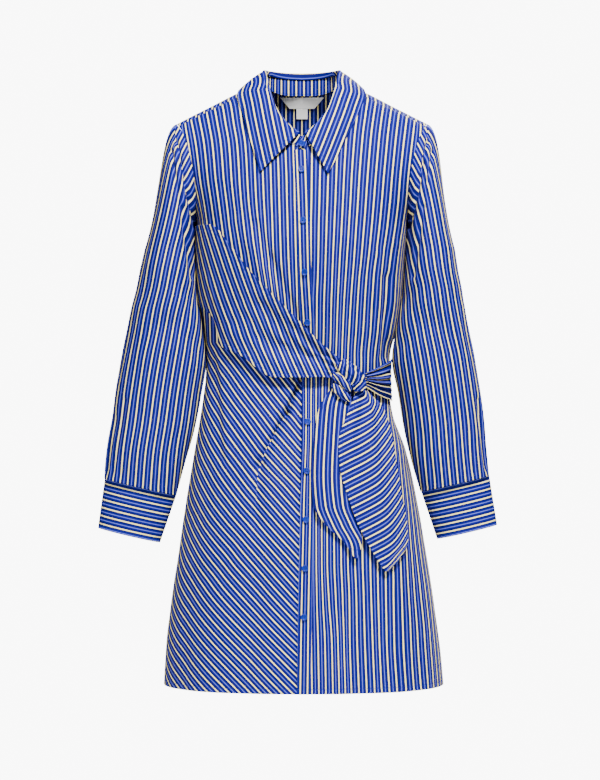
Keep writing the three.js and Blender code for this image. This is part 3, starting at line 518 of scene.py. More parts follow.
neckSeam = {
    "along": [0, 0.13, 0.27, 0.4, 0.52, 0.61, 0.7, 0.78, 0.87, 0.94, 1],
    "x": [0, 22, 42, 55.5, 61, 62, 58.5, 50, 36, 18, 0],
    "down": [97, 84, 56, 22, -4.6, -11.2, -11.2, -9, -4.5, -1.2, 0],
    "side": [-1, -1, -1, -1, -1, 0, 1, 1, 1, 1, 1],
}
frontNeck = {"x": neckSeam["x"][:5], "down": neckSeam["down"][:5]}


# Top edge of the front: the neckline, then the yoke seam just before the shoulder ridge.
def frontTop(x):
    out = np.abs(x)
    shoulder = mix(ridgeAt(x), underarm, cutting["yokeDrop"] ** 2)
    return np.where(out < cutting["neckCorner"], readTable(frontNeck, "x", "down", out), shoulder)


# Where columns cross a line: the stretch between two heights is halved again and again.
def crossing(u, high, low, isAbove):
    high, low = np.full(u.shape, high), np.full(u.shape, low)
    for _ in range(40):
        down = (high + low) / 2
        above = isAbove(down)
        high, low = np.where(above, down, high), np.where(above, low, down)
    return low


def columnTop(hand, u):
    def isAbove(down):
        return down < frontTop(mix(placketAt(down), hand * armholeAt(down), np.sin(np.pi / 2 * u)))
    return crossing(u, -30.0, 120.0, isAbove) + cutting["seamGap"] / 2


# Columns of a front panel, with one at the corner of the neck and narrow ones at both edges.
def frontUs(hand, inner=24, outer=62):
    centre = placketAt(0)
    corner = 2 / np.pi * np.arcsin((hand * cutting["neckCorner"] - centre) / (hand * armholeAt(0) - centre))
    us = np.concatenate([np.linspace(0, corner, inner), np.linspace(corner, 1, outer)[1:]])
    return np.sort(np.concatenate([us, [0.006, 0.994]]))


wrapSeam = {"out": [-20, 39, 67, 90, 117, 130, 150], "down": [423, 421, 404, 386, 368, 330, 308]}


def columnSeam(u):
    def isAbove(down):
        return down < readTable(wrapSeam, "out", "down", -np.minimum(0, frontColumn(-1, u, down)[..., 0]))
    return crossing(u, 300.0, 430.0, isAbove)


# Plain width over the flat front, where the cloth is seen square on, and a share of the girth past it.
def spreadGirth(x, down, flat, share=0.5):
    whole, total = girthTo(x, down, -1), 0
    for step in (-22, -7, 7, 22):
        near = np.clip(x, -flat - step, flat + step)
        total = total + x + share * (whole - x - girthTo(near, down, -1) + near)
    return total / 4


# Stripe coordinate from where every third cream line runs: even between two lines, by girth past the last.
def stripeByLines(lines, hand, x, down):
    out = x * hand
    names = [name for name in lines if name.startswith("line")]
    at = [readTable(lines, "down", name, down) for name in names]
    numbers = [int(name[4:]) for name in names]
    number = numbers[0] + (out - at[0]) / (at[1] - at[0]) * (numbers[1] - numbers[0])
    for i in range(1, len(names) - 1):
        share = (out - at[i]) / (at[i + 1] - at[i])
        number = np.where(share > 0, mix(numbers[i], numbers[i + 1], share), number)
    beyond = np.abs(girthTo(x, down, -1)) - np.abs(girthTo(at[-1] * hand, down, -1))
    number = np.where(out > at[-1], numbers[-1] + beyond / readTable(lines, "down", "pitch", down), number)
    return number * cutting["repeat"]


# Stripe coordinate of cloth on the slant: its number at one x by height, then even steps across.
def stripeByDrift(drift, x, down):
    flat = readTable(drift, "down", "flat", down)
    away = spreadGirth(x, down, flat) - spreadGirth(np.full(x.shape, float(drift["aboutX"])), down, flat)
    number = readTable(drift, "down", "number", down) + away / readTable(drift, "down", "pitch", down)
    return number * cutting["repeat"]


leftFront = {
    # a crease: x and down at both ends, width, height, lean
    "folds": [
        (125, 285, 122, 400, 7, -3, 0),
        (24, 470, 20, 800, 7, -3, 0),
        (120, 520, 140, 880, 22, 3, 0),
        (75, 600, 84, 885, 16, -2.5, 0),
    ],
    "fineFolds": [
        (113, 250, 112, 395, 6, 1.6, 0),
        (139, 235, 132, 370, 7, 1.5, 0),
        (60, 250, 56, 372, 12, -1.2, 0),
        (86, 285, 84, 395, 9, -1.1, 0),
        (46, 300, 45, 380, 8, 1.0, 0),
        (27, 468, 15, 505, 5, 1.6, 0.3),
        (104, 480, 118, 640, 10, -1.8, 0),
        (50, 690, 52, 885, 12, 1.6, 0),
        (108, 640, 116, 880, 9, -1.7, 0),
        (160, 560, 172, 880, 10, -1.6, 0),
    ],
    # cream lines by height: how far out every third one runs, and the pitch past the last
    "lines": {
        "down": [12, 41, 71, 100, 136, 173, 209, 246, 282,
                 319, 362, 399, 493, 600, 696, 754, 812, 889],
        "line1": [16, 15.5, 15, 14.6, 14.2, 13.7, 13, 13, 12.4,
                  11.1, 11.1, 11, 11.9, 12.6, 13, 12.9, 13.2, 14.4],
        "line4": [58, 57, 54, 52, 50.2, 48.7, 47.1, 45.5, 44.1,
                  42.7, 42, 41, 38, 36.5, 36.2, 38.6, 42.8, 44.4],
        "line7": [99, 94.3, 89.9, 87, 84, 81.7, 79.2, 76.9, 74.3,
                  71.6, 69.2, 67.3, 66, 66, 66.5, 68.7, 69.2, 71.6],
        "line10": [137, 131.5, 127.2, 124, 120.3, 117, 113.7, 109.4, 105.2,
                   103, 100.5, 97.5, 97, 98, 99, 100.5, 102.2, 105.4],
        "line13": [176, 169.5, 165, 161, 157, 154.5, 149.5, 142.5, 138.3,
                   136.5, 131, 126.3, 128, 130, 131, 131.5, 132, 136.5],
        "pitch": [12, 12, 12, 12, 12, 11.8, 11.5, 11.5, 11.5,
                  11.5, 11.5, 11.5, 11.6, 13, 14.5, 15.5, 16, 16],
    },
    "seed": 11, "fade": 0.05, "flat": (0.31, 0.9), "area": 0.19, "held": "hung",
}


def hemEdge(down):
    return hem - down - cutting["hemStitch"]


def makeLeftFront():
    u = frontUs(1)
    top = columnTop(1, u)
    chest, rest = edged(52, 0.012), edged(200, 0.0015)[1:]
    down = np.concatenate([mix(top[None, :], underarm, chest[:, None]),
                           np.repeat(mix(underarm, hem, rest)[:, None], len(u), axis=1)])
    points = frontColumn(1, u[None, :], down)
    x = points[..., 0]
    lift = panelLift(leftFront, u, x, down, girthTo(x, down, -1))
    cloth = (stripeByLines(leftFront["lines"], 1, x, down), down)
    cutPiece("front_left", leftFront, points, lift, -1, cloth, (hemEdge(down), x))


rightFront = {
    "folds": [
        (-66, 208, -45, 262, 9, -2.5, 0),
        (-45, 262, -6, 345, 9, -3.2, 0),
        (-95, 205, -60, 270, 11, 2.2, 0),
    ],
    "fineFolds": [
        (-62, 200, -36, 262, 5, 1.5, 0.3),
        (-36, 262, 2, 345, 5, 1.7, 0.3),
        (-118, 150, -84, 250, 9, -1.2, 0),
        (-30, 210, -24, 300, 8, 0.9, 0),
    ],
    "lines": {
        "down": [12, 27, 56, 85, 114, 144, 173, 202, 231, 260, 290, 319, 360, 420],
        "line1": [15, 14.5, 14, 13, 12.3, 11.1, 10.8, 10.1, 9.5, 8.8, 7.9, 7.1, 5, 1],
        "line4": [55, 53, 50, 48.5, 46.5, 45.5, 44.6, 43.5, 42.5, 41.1, 38, 34, 28, 19],
        "line7": [97, 93.1, 89, 84, 81.7, 80.1, 78.1, 74.8, 70.8, 65.8, 61, 56, 48, 37],
        "line10": [135, 131, 125.2, 120, 117.3, 115, 111.4, 107.5, 103.4, 98.7, 93, 87, 78, 65],
        "line13": [176, 171, 163.5, 157.5, 153.5, 149.7, 144.8, 140.5, 137, 133, 127, 120, 110, 96],
        "pitch": [12, 12, 12, 12, 12, 12, 11.8, 11.6, 11.5, 11.5, 11.5, 11.5, 11.5, 11.5],
    },
    "seed": 21, "fade": 0.05, "flat": (0.28, 0.42), "area": 0.07, "held": "hung",
}


def makeRightFront():
    u = frontUs(-1)
    top, low = columnTop(-1, u), columnSeam(u) - 0.5
    chest, rest = edged(52, 0.012), edged(60, 0.005)[1:]
    down = np.concatenate([mix(top[None, :], underarm, chest[:, None]),
                           mix(underarm, low[None, :], rest[:, None])])
    points = frontColumn(-1, u[None, :], down)
    x = points[..., 0]
    lift = panelLift(rightFront, u, x, down, girthTo(x, down, -1)) * ease(1, 0.8, np.clip(down / low, 0, 1))
    cloth = (stripeByLines(rightFront["lines"], -1, x, down), down)
    cutPiece("front_right", rightFront, points, lift, 1, cloth, (far, x))


rightSkirt = {
    "folds": [
        (-2, 436, -23, 482, 5, -5.5, 0),
        (-23, 482, -64, 560, 6, -6.5, 0),
        (-64, 560, -68, 640, 11, -4, 0),
        (-68, 640, -126, 720, 18, -2.5, 0),
        (-131, 410, -118, 550, 8, -2.6, 0),
        (-110, 715, -140, 885, 26, 3, 0),
    ],
    "fineFolds": [
        # the sharp line of the pleat
        (0, 428, -23, 482, 1.7, -5.5, 0),
        (-23, 482, -47, 523, 1.7, -5, 0),
        (-47, 523, -63, 562, 2.2, -3.5, 0),
        (-9, 436, -31, 482, 4, 3, 0),
        (-31, 482, -73, 560, 5, 3, 0),
        (-122, 400, -110, 540, 7, 1.8, 0),
        (-4, 470, -8, 880, 5, -2.2, 0),
        (-45, 590, -95, 700, 14, 1.6, 0),
        (-100, 470, -130, 640, 14, 1.3, 0),
        (-60, 730, -80, 885, 15, -1.8, 0),
        (-30, 640, -50, 800, 12, 1.4, 0),
        (-160, 640, -175, 885, 12, -1.6, 0),
    ],
    # the pleat that takes in a little cloth: its line, and the share of a repeat lost in it
    "pleat": {
        "down": [423, 436, 482, 515, 537, 566, 595, 640, 720, 889],
        "x": [2, -4, -26, -43, -54, -65, -67, -70, -126, -260],
        "lost": [1, 1, 0.96, 0.83, 0.68, 0.44, 0.1, 0, 0, 0],
    },
    # stripe number by height along one upright line, pitch across, and half width of the flat front
    "drift": {
        "aboutX": -70,
        "down": [380, 430, 450, 472, 493, 515, 537, 566, 595,
                 638, 682, 725, 768, 812, 841, 870, 889],
        "number": [27.3, 24.4, 23.32, 22.11, 20.95, 19.8, 18.64, 17.05, 15.5,
                   13, 10.29, 7.69, 5.06, 2.24, 0.34, -1.52, -2.75],
        "pitch": [14.1, 14.1, 14.2, 14.2, 14.2, 14.3, 14.4, 14.5, 14.5,
                  14.6, 14.7, 14.8, 15, 15.2, 15.3, 15.4, 15.4],
        "flat": [60, 62, 70, 76, 82, 88, 94, 102, 112, 130, 145, 158, 168, 176, 180, 184, 186],
    },
    "seed": 31, "fade": 0.05, "flat": (0.36, 0.56), "area": 0.13, "held": "hung",
}


def makeRightSkirt():
    u = frontUs(-1, 90, 70)
    low = columnSeam(u) + 0.5
    down = mix(low[None, :], hem, edged(170, 0.002)[:, None])
    points = frontColumn(-1, u[None, :], down)
    x = points[..., 0]
    lift = panelLift(rightSkirt, u, x, down, girthTo(x, down, -1))
    stripe = stripeByDrift(rightSkirt["drift"], x, down)
    lost = readTable(rightSkirt["pleat"], "down", "lost", down) * cutting["repeat"]
    pleatX = readTable(rightSkirt["pleat"], "down", "x", down)
    cutPiece("skirt_right", rightSkirt, points, lift, 1, (stripe, down), (hemEdge(down), x),
             turned=(stripe + lost, down), pleat=x - pleatX)


placket = {
    "top": 98.5, "wide": 20, "lift": 1.9, "roll": -0.6, "stitch": 2.2, "wall": 1.2,
    # distance between its two cream lines, less where it rolls a little out of sight
    "spacing": {"down": [100, 260, 400, 480, 540, 620, 889], "wide": [11.6, 10.6, 9.2, 7.2, 7.2, 9.2, 10.4]},
    "flat": (0.021, 0.81), "area": 0.016, "held": "hung",
}


# Button placket: a strip about its line down the front, rolled down at both edges.
def makePlacket():
    v, u = edged(230, 0.001), edged(14, 0.03)
    down = np.repeat(mix(placket["top"], hem, v)[:, None], len(u), axis=1)
    off = (u - 0.5)[None, :] * placket["wide"]
    points = bodyAt(placketAt(down) + off, down, -1)
    rolled = placket["roll"] * np.abs(2 * u[None, :] - 1) ** 6
    lift = placket["lift"] + rolled + 0.25 * crumple(off + down * 0, down, 41)
    cloth = ((off / readTable(placket["spacing"], "down", "wide", down) + 0.5) * cutting["repeat"], down)
    stitched = placket["wide"] / 2 - np.abs(off) - placket["stitch"]
    cutPiece("placket", placket, points, lift, -1, cloth, (stitched, down))


makeLeftFront()
makeRightFront()
makeRightSkirt()
makePlacket()


# How far down from the shoulder ridge, as the root of the share down to the underarm.
def reachOf(x, down):
    return float(np.sqrt(max(0, (down - ridgeAt(x)) / (underarm - ridgeAt(x)))))


seamOut = float(armholeAt(cutting["backSeam"]))
backYoke = {
    "along": [0, 0.1, 0.2, 0.3, 0.42, 0.55, 0.72, 0.86, 1],
    "neckX": [61, 62, 62, 60.5, 56, 46, 31, 15.5, 0],
    "neckReach": [-0.188, -0.09, 0.02, 0.11, 0.17, reachOf(46, -7.6), reachOf(31, -3.2), reachOf(15.5, -0.8),
                  reachOf(0, 0.2)],
    "outX": [184.8, 186.6, 187, float(armholeAt(62)), float(armholeAt(84)), seamOut, 108, 54, 0],
    "outReach": [-0.188, -0.08, 0.03, reachOf(float(armholeAt(62)), 62), reachOf(float(armholeAt(84)), 84),
                 reachOf(seamOut, 110), reachOf(108, 110), reachOf(54, 110), reachOf(0, 110)],
    "run": 120,            # mm of stripe from the shoulder ridge down to underarm height
    "flat": (0.39, 0.16), "area": 0.053, "held": "hung",
}


# Back yoke: a horseshoe from the neck seam out to the armholes and the back seam, over the shoulder ridge.
def makeYoke():
    u, v = edged(150, 0.002), edged(44, 0.008)
    hand = np.where(u < 0.5, 1, -1)[None, :]
    along = (1 - np.abs(2 * u - 1))[None, :]
    value = lambda column: readTable(backYoke, "along", column, along)
    x = hand * mix(value("neckX"), value("outX"), v[:, None])
    reach = mix(value("neckReach"), value("outReach"), v[:, None])
    down = mix(ridgeAt(x), underarm, reach * reach)
    points = bodyAt(x, down, np.where(reach < 0, -1, 1))
    run = reach * backYoke["run"]
    seam = np.where(reach > 0, cutting["backSeam"] - down, far) - cutting["seamStitch"]
    cutPiece("back_yoke", backYoke, points, crumple(x, run, 51, 0.3), -1, (x, run), (seam, x))


backPanel = {
    "folds": [
        (34, 118, 60, 330, 15, -2.6, 0),
        (-30, 118, -55, 340, 15, -2.8, 0),
        (62, 420, 88, 885, 24, -4, 0),
        (-58, 430, -90, 885, 26, -4.2, 0),
        (4, 440, -6, 880, 22, 3, 0),
    ],
    "fineFolds": [
        (-8, 118, -14, 300, 9, 1.4, 0),
        (14, 118, 22, 290, 8, 1.2, 0),
        (-120, 230, -70, 380, 12, -1.7, 0),
        (122, 240, 66, 390, 12, -1.6, 0),
        (-100, 350, -20, 405, 10, -1.5, 0),
        (96, 360, 24, 418, 11, -1.6, 0),
        (-118, 470, -150, 880, 18, 2, 0),
        (112, 480, 150, 885, 17, 2.2, 0),
        (34, 560, 40, 885, 12, -1.5, 0),
        (-32, 600, -40, 885, 12, -1.6, 0),
        (-62, 180, -40, 260, 10, 1.2, 0),
    ],
    "seed": 61, "fade": 0.03, "flat": (0.62, 0.79), "area": 0.356, "held": "hung",
}


# Back: columns from side seam to side seam, by the level ring below the underarm.
def makeBack():
    u = edged(150, 0.002)
    hand = np.where(u < 0.5, 1, -1)[None, :]
    reach = np.sin(np.pi / 2 * np.abs(2 * u - 1))[None, :]
    top = cutting["backSeam"] + cutting["seamGap"]
    down = np.concatenate([mix(top, underarm, edged(26, 0.01)), mix(underarm, hem, edged(190, 0.0015)[1:])])
    down = np.repeat(down[:, None], len(u), axis=1)
    above = bodyAt(hand * armholeAt(down) * reach, down, 1)
    x = armholeAt(underarm) * reach
    share = np.arctan2(x, bodyY(x, np.full(x.shape, float(underarm)), 1)) / (np.pi / 2)
    side = np.pi / 2 - cutting["seamGap"] / 2 / halfAt(hand, down)
    below = ringAt(np.pi - hand * side * share, down)
    points = np.where((down < underarm)[..., None], above, below)
    x = points[..., 0]
    girth = girthTo(x, down, 1)
    lift = panelLift(backPanel, u, x, down, girth) * ease(top, top + 30, down)
    edge = np.where(down < underarm, down - top - cutting["seamStitch"], hemEdge(down))
    cutPiece("back", backPanel, points, lift, -1, (girth, down), (edge, x))


makeYoke()
makeBack()

collar = {
    "fold": {
        "along": [0, 0.13, 0.27, 0.4, 0.52, 0.61, 0.7, 0.78, 0.87, 0.94, 1],
        "x": [0, 19, 38, 49.5, 55, 56.5, 54, 47.5, 35, 18, 0],
        "y": [-87, -80, -62, -38, -15, 2, 18, 32, 46, 54, 57],
        "down": [77, 61, 35, 2, -19, -28, -29.5, -28.8, -27.6, -26.6, -26.2],
    },
    # free edge of the leaf; the two points hang differently
    "edge": {
        "along": [0.03, 0.14, 0.27, 0.4, 0.52, 0.61, 0.7, 0.78, 0.87, 0.94, 1],
        "xRight": [61, 69, 79.5, 88, 94, 90, 82, 70, 46, 22, 0],
        "downRight": [130, 103, 66, 34, 11.5, 2, 10, 17, 21, 22.5, 23],
        "xLeft": [38, 50.5, 68, 82.5, 92, 90, 82, 70, 46, 22, 0],
        "downLeft": [134, 108, 70, 37, 12, 2, 10, 17, 21, 22.5, 23],
    },
    "leafStart": 0.03,
    "rollHigh": {"along": [0.7, 0.95, 1], "high": [0.75, 1.9, 2.0]},    # shares of the roll's radius
    "standLow": {"along": [0.5, 0.64, 0.85, 1], "low": [0.04, -0.3, -0.26, -0.12]},
    # first cream line from the free edge: both fronts and the back; lean: how the stripes turn off the edge
    "firstRight": 2.5,
    "firstLeft": 4.6,
    "firstBack": 2.8,
    "lean": 0.0925,
    "leafOff": 2.9,
    "inside": -2.7,      # the leaf rolls over the stand and ends inside the neck
    "insideDeep": 5.5,
    "rollLong": 8.8,     # cloth in the roll over the fold, and the rows of points that carry it
    "rollRows": 13,
    "leafLong": 420,
    "pointLong": 190,
    "standLap": 2.1,
    "leafLift": 3.1,
    "stitch": 5,
    "stand": {"wall": 1.2, "flat": (0.36, 0.034), "area": 0.0075, "held": "folded"},
    "leaf": {"wall": 1.2, "flat": (0.42, 0.085), "area": 0.0273, "held": "folded",
             "restsOn": ["front_left", "front_right"]},
}
neckSeam["y"] = [float(0 if side == 0 else bodyY(np.array(float(x)), np.array(float(down)), side))
                 for x, down, side in zip(neckSeam["x"], neckSeam["down"], neckSeam["side"])]


# A place on half of a neck curve; past the front centre it runs on to the other half.
def neckPlace(table, hand, along):
    out = np.abs(along)
    x = hand * readTable(table, "along", "x", out) * np.where(along < 0, -1, 1)
    y, down = readTable(table, "along", "y", out), readTable(table, "along", "down", out)
    return np.stack([x, y, -down], axis=-1)


# Stand of the collar: straight from the neck seam to the fold line, lapped past the middle at both ends.
def standPoint(u, v):
    hand = np.where(u < 0.5, -1, 1)
    along = np.where(u < 0.5, mix(-0.045, 1, u / 0.5), mix(1, -0.06, (u - 0.5) / 0.5))
    seam, fold = neckPlace(neckSeam, hand, along), neckPlace(collar["fold"], hand, along)
    low = readTable(collar["standLow"], "along", "low", np.abs(along))
    return mix(seam, fold, mix(low, 0.94, v)[..., None])


def makeStand():
    u, v = np.meshgrid(edged(170, 0.002), edged(12, 0.04))
    points = standPoint(u, v)
    lift = collar["standLap"] * ease(0.09, 0.035, u)
    step = np.linalg.norm(np.diff(points, axis=1), axis=-1)
    around = np.concatenate([np.zeros((len(step), 1)), np.cumsum(step, axis=1)], axis=1)
    around -= around[:, around.shape[1] // 2][:, None]
    cutPiece("collar_stand", collar["stand"], points, lift, -1, (around - 3.3, v * 30), (v * 28 - 2, around))


# Leaf of the collar: from the fold line to the free edge, bowed out, and kept clear of the front. Above the
# fold (s below 0, in mm) it rolls over the stand in a half circle and runs down inside.
def leafPoint(u, v, s):
    hand = np.where(u < 0.5, -1, 1)
    along = mix(collar["leafStart"], 1, 1 - np.abs(2 * u - 1))
    fold = neckPlace(collar["fold"], hand, along)
    value = lambda column: readTable(collar["edge"], "along", column, along)
    edgeX = np.where(hand < 0, value("xRight"), value("xLeft"))
    edgeDown = np.where(hand < 0, value("downRight"), value("downLeft"))
    level = np.maximum(edgeDown, ridgeAt(edgeX))
    edgeY = mix(bodyY(edgeX, level, -1), bodyY(edgeX, level, 1), ease(0.55, 0.67, along))
    edge = np.stack([hand * edgeX, edgeY, -edgeDown], axis=-1)
    out = fold * [1, 1, 0]
    out /= np.linalg.norm(out, axis=-1, keepdims=True)
    bow = mix(3.5, 1.6, ease(0.35, 0.55, along))
    overStand = 2 * np.where(hand < 0, ease(0.16, 0.08, along), ease(0.12, 0.06, along)) * ease(0.5, 0, v)
    off = collar["leafOff"] + overStand
    place = mix(fold, edge, v[..., None]) + out * (off + bow * np.sin(np.pi * v ** 0.8))[..., None]
    place[..., 2] += (collar["leafLift"] + 0.6) * v * ease(0.3, 0.6, along)
    down = -place[..., 2]
    excess = place[..., 1] - (bodyY(place[..., 0], down, -1) - collar["leafLift"] * 1.25)
    near = (along < 0.6) & (down > ridgeAt(place[..., 0]) + 1)
    place[..., 1] -= np.where(near, 0.5 * (excess + np.hypot(excess, 2)), 0)
    radius = (off - collar["inside"]) / 2
    turn = np.clip(-s / radius, 0, np.pi)
    start = place[0] + 0 * place
    rolled = start + out * (radius * (np.cos(turn) - 1))[..., None]
    high = readTable(collar["rollHigh"], "along", "high", along)
    rolled[..., 2] += high * radius * np.sin(turn) - np.maximum(0, -s - np.pi * radius)
    return np.where((s < 0)[..., None], rolled, place)


# Distance of each point from a line through many places.
def offLine(points, line):
    start, step = line[:-1], np.diff(line, axis=0)
    away = points[..., None, :] - start
    share = np.clip((away * step).sum(axis=-1) / (step * step).sum(axis=-1), 0, 1)
    return np.sqrt(((away - share[..., None] * step) ** 2).sum(axis=-1).min(axis=-1))


def makeLeaf():
    roll, rows = collar["rollLong"], collar["rollRows"]
    inside = np.linspace(-roll - collar["insideDeep"], -8.9, 4)
    s = np.concatenate([inside, np.linspace(-roll, -0.6, rows - 4), np.zeros(41)])
    v = np.concatenate([np.zeros(rows), edged(40, 0.01)])
    u, v = np.meshgrid(edged(210, 0.0015), v)
    along = mix(collar["leafStart"], 1, 1 - np.abs(2 * u - 1))
    s = np.repeat(s[:, None], u.shape[1], axis=1)
    s = np.where(s < -roll, -roll + (s + roll) * mix(0.1, 1, ease(0.5, 0.7, along)), s)
    points = leafPoint(u, v, s)
    plain = points * [1, 0.45, 1]
    across = offLine(plain, plain[-1]) * (s == 0)
    across += (s < 0) * (across[rows] - s)
    first = np.where(u < 0.5, collar["firstRight"], collar["firstLeft"])
    first = mix(first, collar["firstBack"], ease(0.6, 0.8, along))
    stripe = across - first - collar["lean"] * (points[..., 2] + 68) * ease(0.8, 0.6, along)
    run = (u - 0.5) * collar["leafLong"]
    fromFront = (along - collar["leafStart"]) * collar["pointLong"]
    stitched = np.where(s < 0, far, np.minimum(across, fromFront) - collar["stitch"])
    lift = (0.25 * crumple(run, across, 71) + 0.5 * np.sin(np.pi * v)) * ease(0, 0.1, v)
    cutPiece("collar_leaf", collar["leaf"], points, lift, 1, (stripe, run), (stitched, run))


makeStand()
makeLeaf()

wrap = {
    # along the wrap from the right side seam to the knot: both edges and the height off the body
    "rows": {
        "along": [0, 0.12, 0.24, 0.36, 0.5, 0.66, 0.82, 1],
        "topX": [-157, -136, -104, -73, -39, 1, 30, 53],
        "topDown": [206, 206, 238, 278, 312, 353, 383, 405],
        "lowX": [-149, -130, -117, -90, -39, 6, 30, 52],
        "lowDown": [318, 341, 383, 397, 432, 432, 431, 433],
        "lift": [3, 3.2, 3.8, 5, 7.5, 10.8, 12, 11.5],
    },
    # lengthwise creases: from, to, place between the edges at each end, width, height
    "folds": [
        (0.3, 1, 0.3, 0.22, 0.1, -3),
        (0.42, 1, 0.62, 0.5, 0.09, -3.4),
        (0.1, 0.95, 0.8, 0.76, 0.1, 2.4),
    ],
    "fineFolds": [
        (0.5, 1, 0.1, 0.12, 0.07, 1.4),
        (0.55, 1, 0.42, 0.36, 0.06, 1.5),
        (0.62, 1, 0.8, 0.72, 0.06, -1.6),
        (0.2, 0.8, 0.5, 0.62, 0.06, -1.2),
        (0.05, 0.5, 0.6, 0.8, 0.07, 1.2),
    ],
    # troughs and ridges drawn towards the knot, on the front view
    "drag": [
        (-56, 327, -5, 389, 6, -5.5, 0),
        (-9, 358, 30, 400, 5, -5, 0),
        (10, 380, 38, 428, 5, -5.5, 0),
        (-62, 372, -22, 408, 7, -3, 0),
        (-100, 352, -64, 392, 8, -2.2, 0),
        (-8, 360, 16, 396, 5, 2.6, 0),
        (-36, 345, -4, 382, 5, 2, 0),
        (-30, 385, -6, 416, 5, -3, 0),
        (14, 385, 34, 412, 4, 2.4, 0),
        (-136, 262, -92, 318, 9, -1.8, 0),
    ],
    "flare": 4,
    "drift": {
        "aboutX": -90,
        "down": [206, 231, 260, 290, 319, 348, 377, 406, 436],
        "number": [4, 3.2, 2.3, 1.42, 0.5, -0.55, -1.55, -2.65, -3.8],
        "pitch": [11.5, 11.5, 11.5, 11.4, 11.4, 11.4, 11.4, 11.4, 11.4],
        "flat": [120] * 9,
    },
    "wide": 110,
    "clear": 3.1,      # least height off the front, and how much more over the placket
    "overPlacket": 3.8,
    "stitch": 6,
    "wall": 1.2, "flat": (0.28, 0.17), "area": 0.0313, "held": "draped",
    "restsOn": ["front_right", "front_left"],
}


# Wrap: the level rings between its two edges, raised by creases that are drawn towards the knot.
def makeWrap():
    u, v = np.meshgrid(edged(130, 0.003), edged(60, 0.008))
    rows = dict(wrap["rows"])
    for name in ("top", "low"):
        angles = angleAt(np.array(rows[name + "X"], float), np.array(rows[name + "Down"], float))
        rows[name + "Angle"] = [-math.pi / 2 + 0.003] + list(angles[1:])    # it starts at the side seam
    value = lambda column: readTable(rows, "along", column, u)
    down = mix(value("topDown"), value("lowDown"), v)
    points = ringAt(mix(value("topAngle"), value("lowAngle"), v), down)
    x = points[..., 0]
    girth = girthTo(x, down, -1)
    height = value("lift")
    for start, end, place0, place1, wide, high in wrap["folds"] + wrap["fineFolds"]:
        along = np.clip((u - start) / (end - start), 0, 1)
        off = (v - mix(place0, place1, along)) / wide
        height = height + high * np.exp(-off * off) * ease(0, 0.25, along) * ease(1, 0.9, along)
    frontRidge = np.maximum(0, creaseAt(rightFront["folds"], x, down))
    skirtRidge = np.maximum(0, creaseAt(rightSkirt["folds"], x, down))
    height = height + frontRidge + crumple(girth, down, 81, 0.4)
    height += creaseAt(wrap["drag"], x, down) * ease(0, 0.06, v) * ease(1, 0.94, v)
    height += wrap["flare"] * ease(0.55, 1, v) * ease(0.15, 0.4, u) * ease(0.86, 0.7, u)
    overPlacket = wrap["overPlacket"] * ease(30, 16, np.abs(x - 8))
    height = np.maximum(height, wrap["clear"] + frontRidge + skirtRidge + overPlacket)
    cloth = (stripeByDrift(wrap["drift"], x, down), down)
    edge = np.minimum(v, 1 - v) * wrap["wide"] - wrap["stitch"]
    cutPiece("wrap_right", wrap, points, height, -1, cloth, (edge, girth))


belt = {
    "rows": {
        "along": [0, 0.2, 0.45, 0.7, 1],
        "top": [403, 404, 407.5, 414, 424],
        "low": [467, 466, 463.5, 458.5, 446],
        "lift": [2.6, 3.5, 4.6, 6.3, 8.8],
    },
    "endX": 90,
    "pleats": 6,
    "high": 4.2,
    "cloth": 68,       # width of the cloth that is gathered into the belt, its length and its seen width
    "long": 60,
    "wide": 50,
    "stitch": 4,
    "wall": 1.2, "flat": (0.13, 0.12), "area": 0.0062, "held": "gathered", "restsOn": ["front_left"],
}


# Belt end: the level rings between its edges, with pleats that rise slowly and drop sharply.
def makeBelt():
    u, v = np.meshgrid(edged(60, 0.006), edged(110, 0.005))
    down = mix(readTable(belt["rows"], "along", "top", u), readTable(belt["rows"], "along", "low", u), v)
    angle = mix(np.pi / 2 - 0.003, angleAt(np.full(u.shape, float(belt["endX"])), down), u)
    points = ringAt(angle, down)
    wave = v * belt["pleats"] + 0.16 * np.sin(7 * v + 2.6 * u) + 0.3
    step = wave % 1
    pleat = np.where(step < 0.76, ease(0, 0.76, step), ease(1, 0.76, step))
    deep = mix(0.12, 1, ease(0, 0.6, u)) * (1 + 0.3 * np.sin(5 * np.floor(wave)))
    height = readTable(belt["rows"], "along", "lift", u) + belt["high"] * (pleat - 0.45) * deep
    cloth = ((v + 0.03 * np.sin(14 * v)) * belt["cloth"] + 3, u * belt["long"])
    edge = np.minimum(v, 1 - v) * belt["wide"] - belt["stitch"]
    cutPiece("belt_left", belt, points, height, 1, cloth, (edge, u * belt["long"]))


makeWrap()
makeBelt()


rollRidges = 0.09, 0.05    # deep and fine ones, as shares of the roll's radius


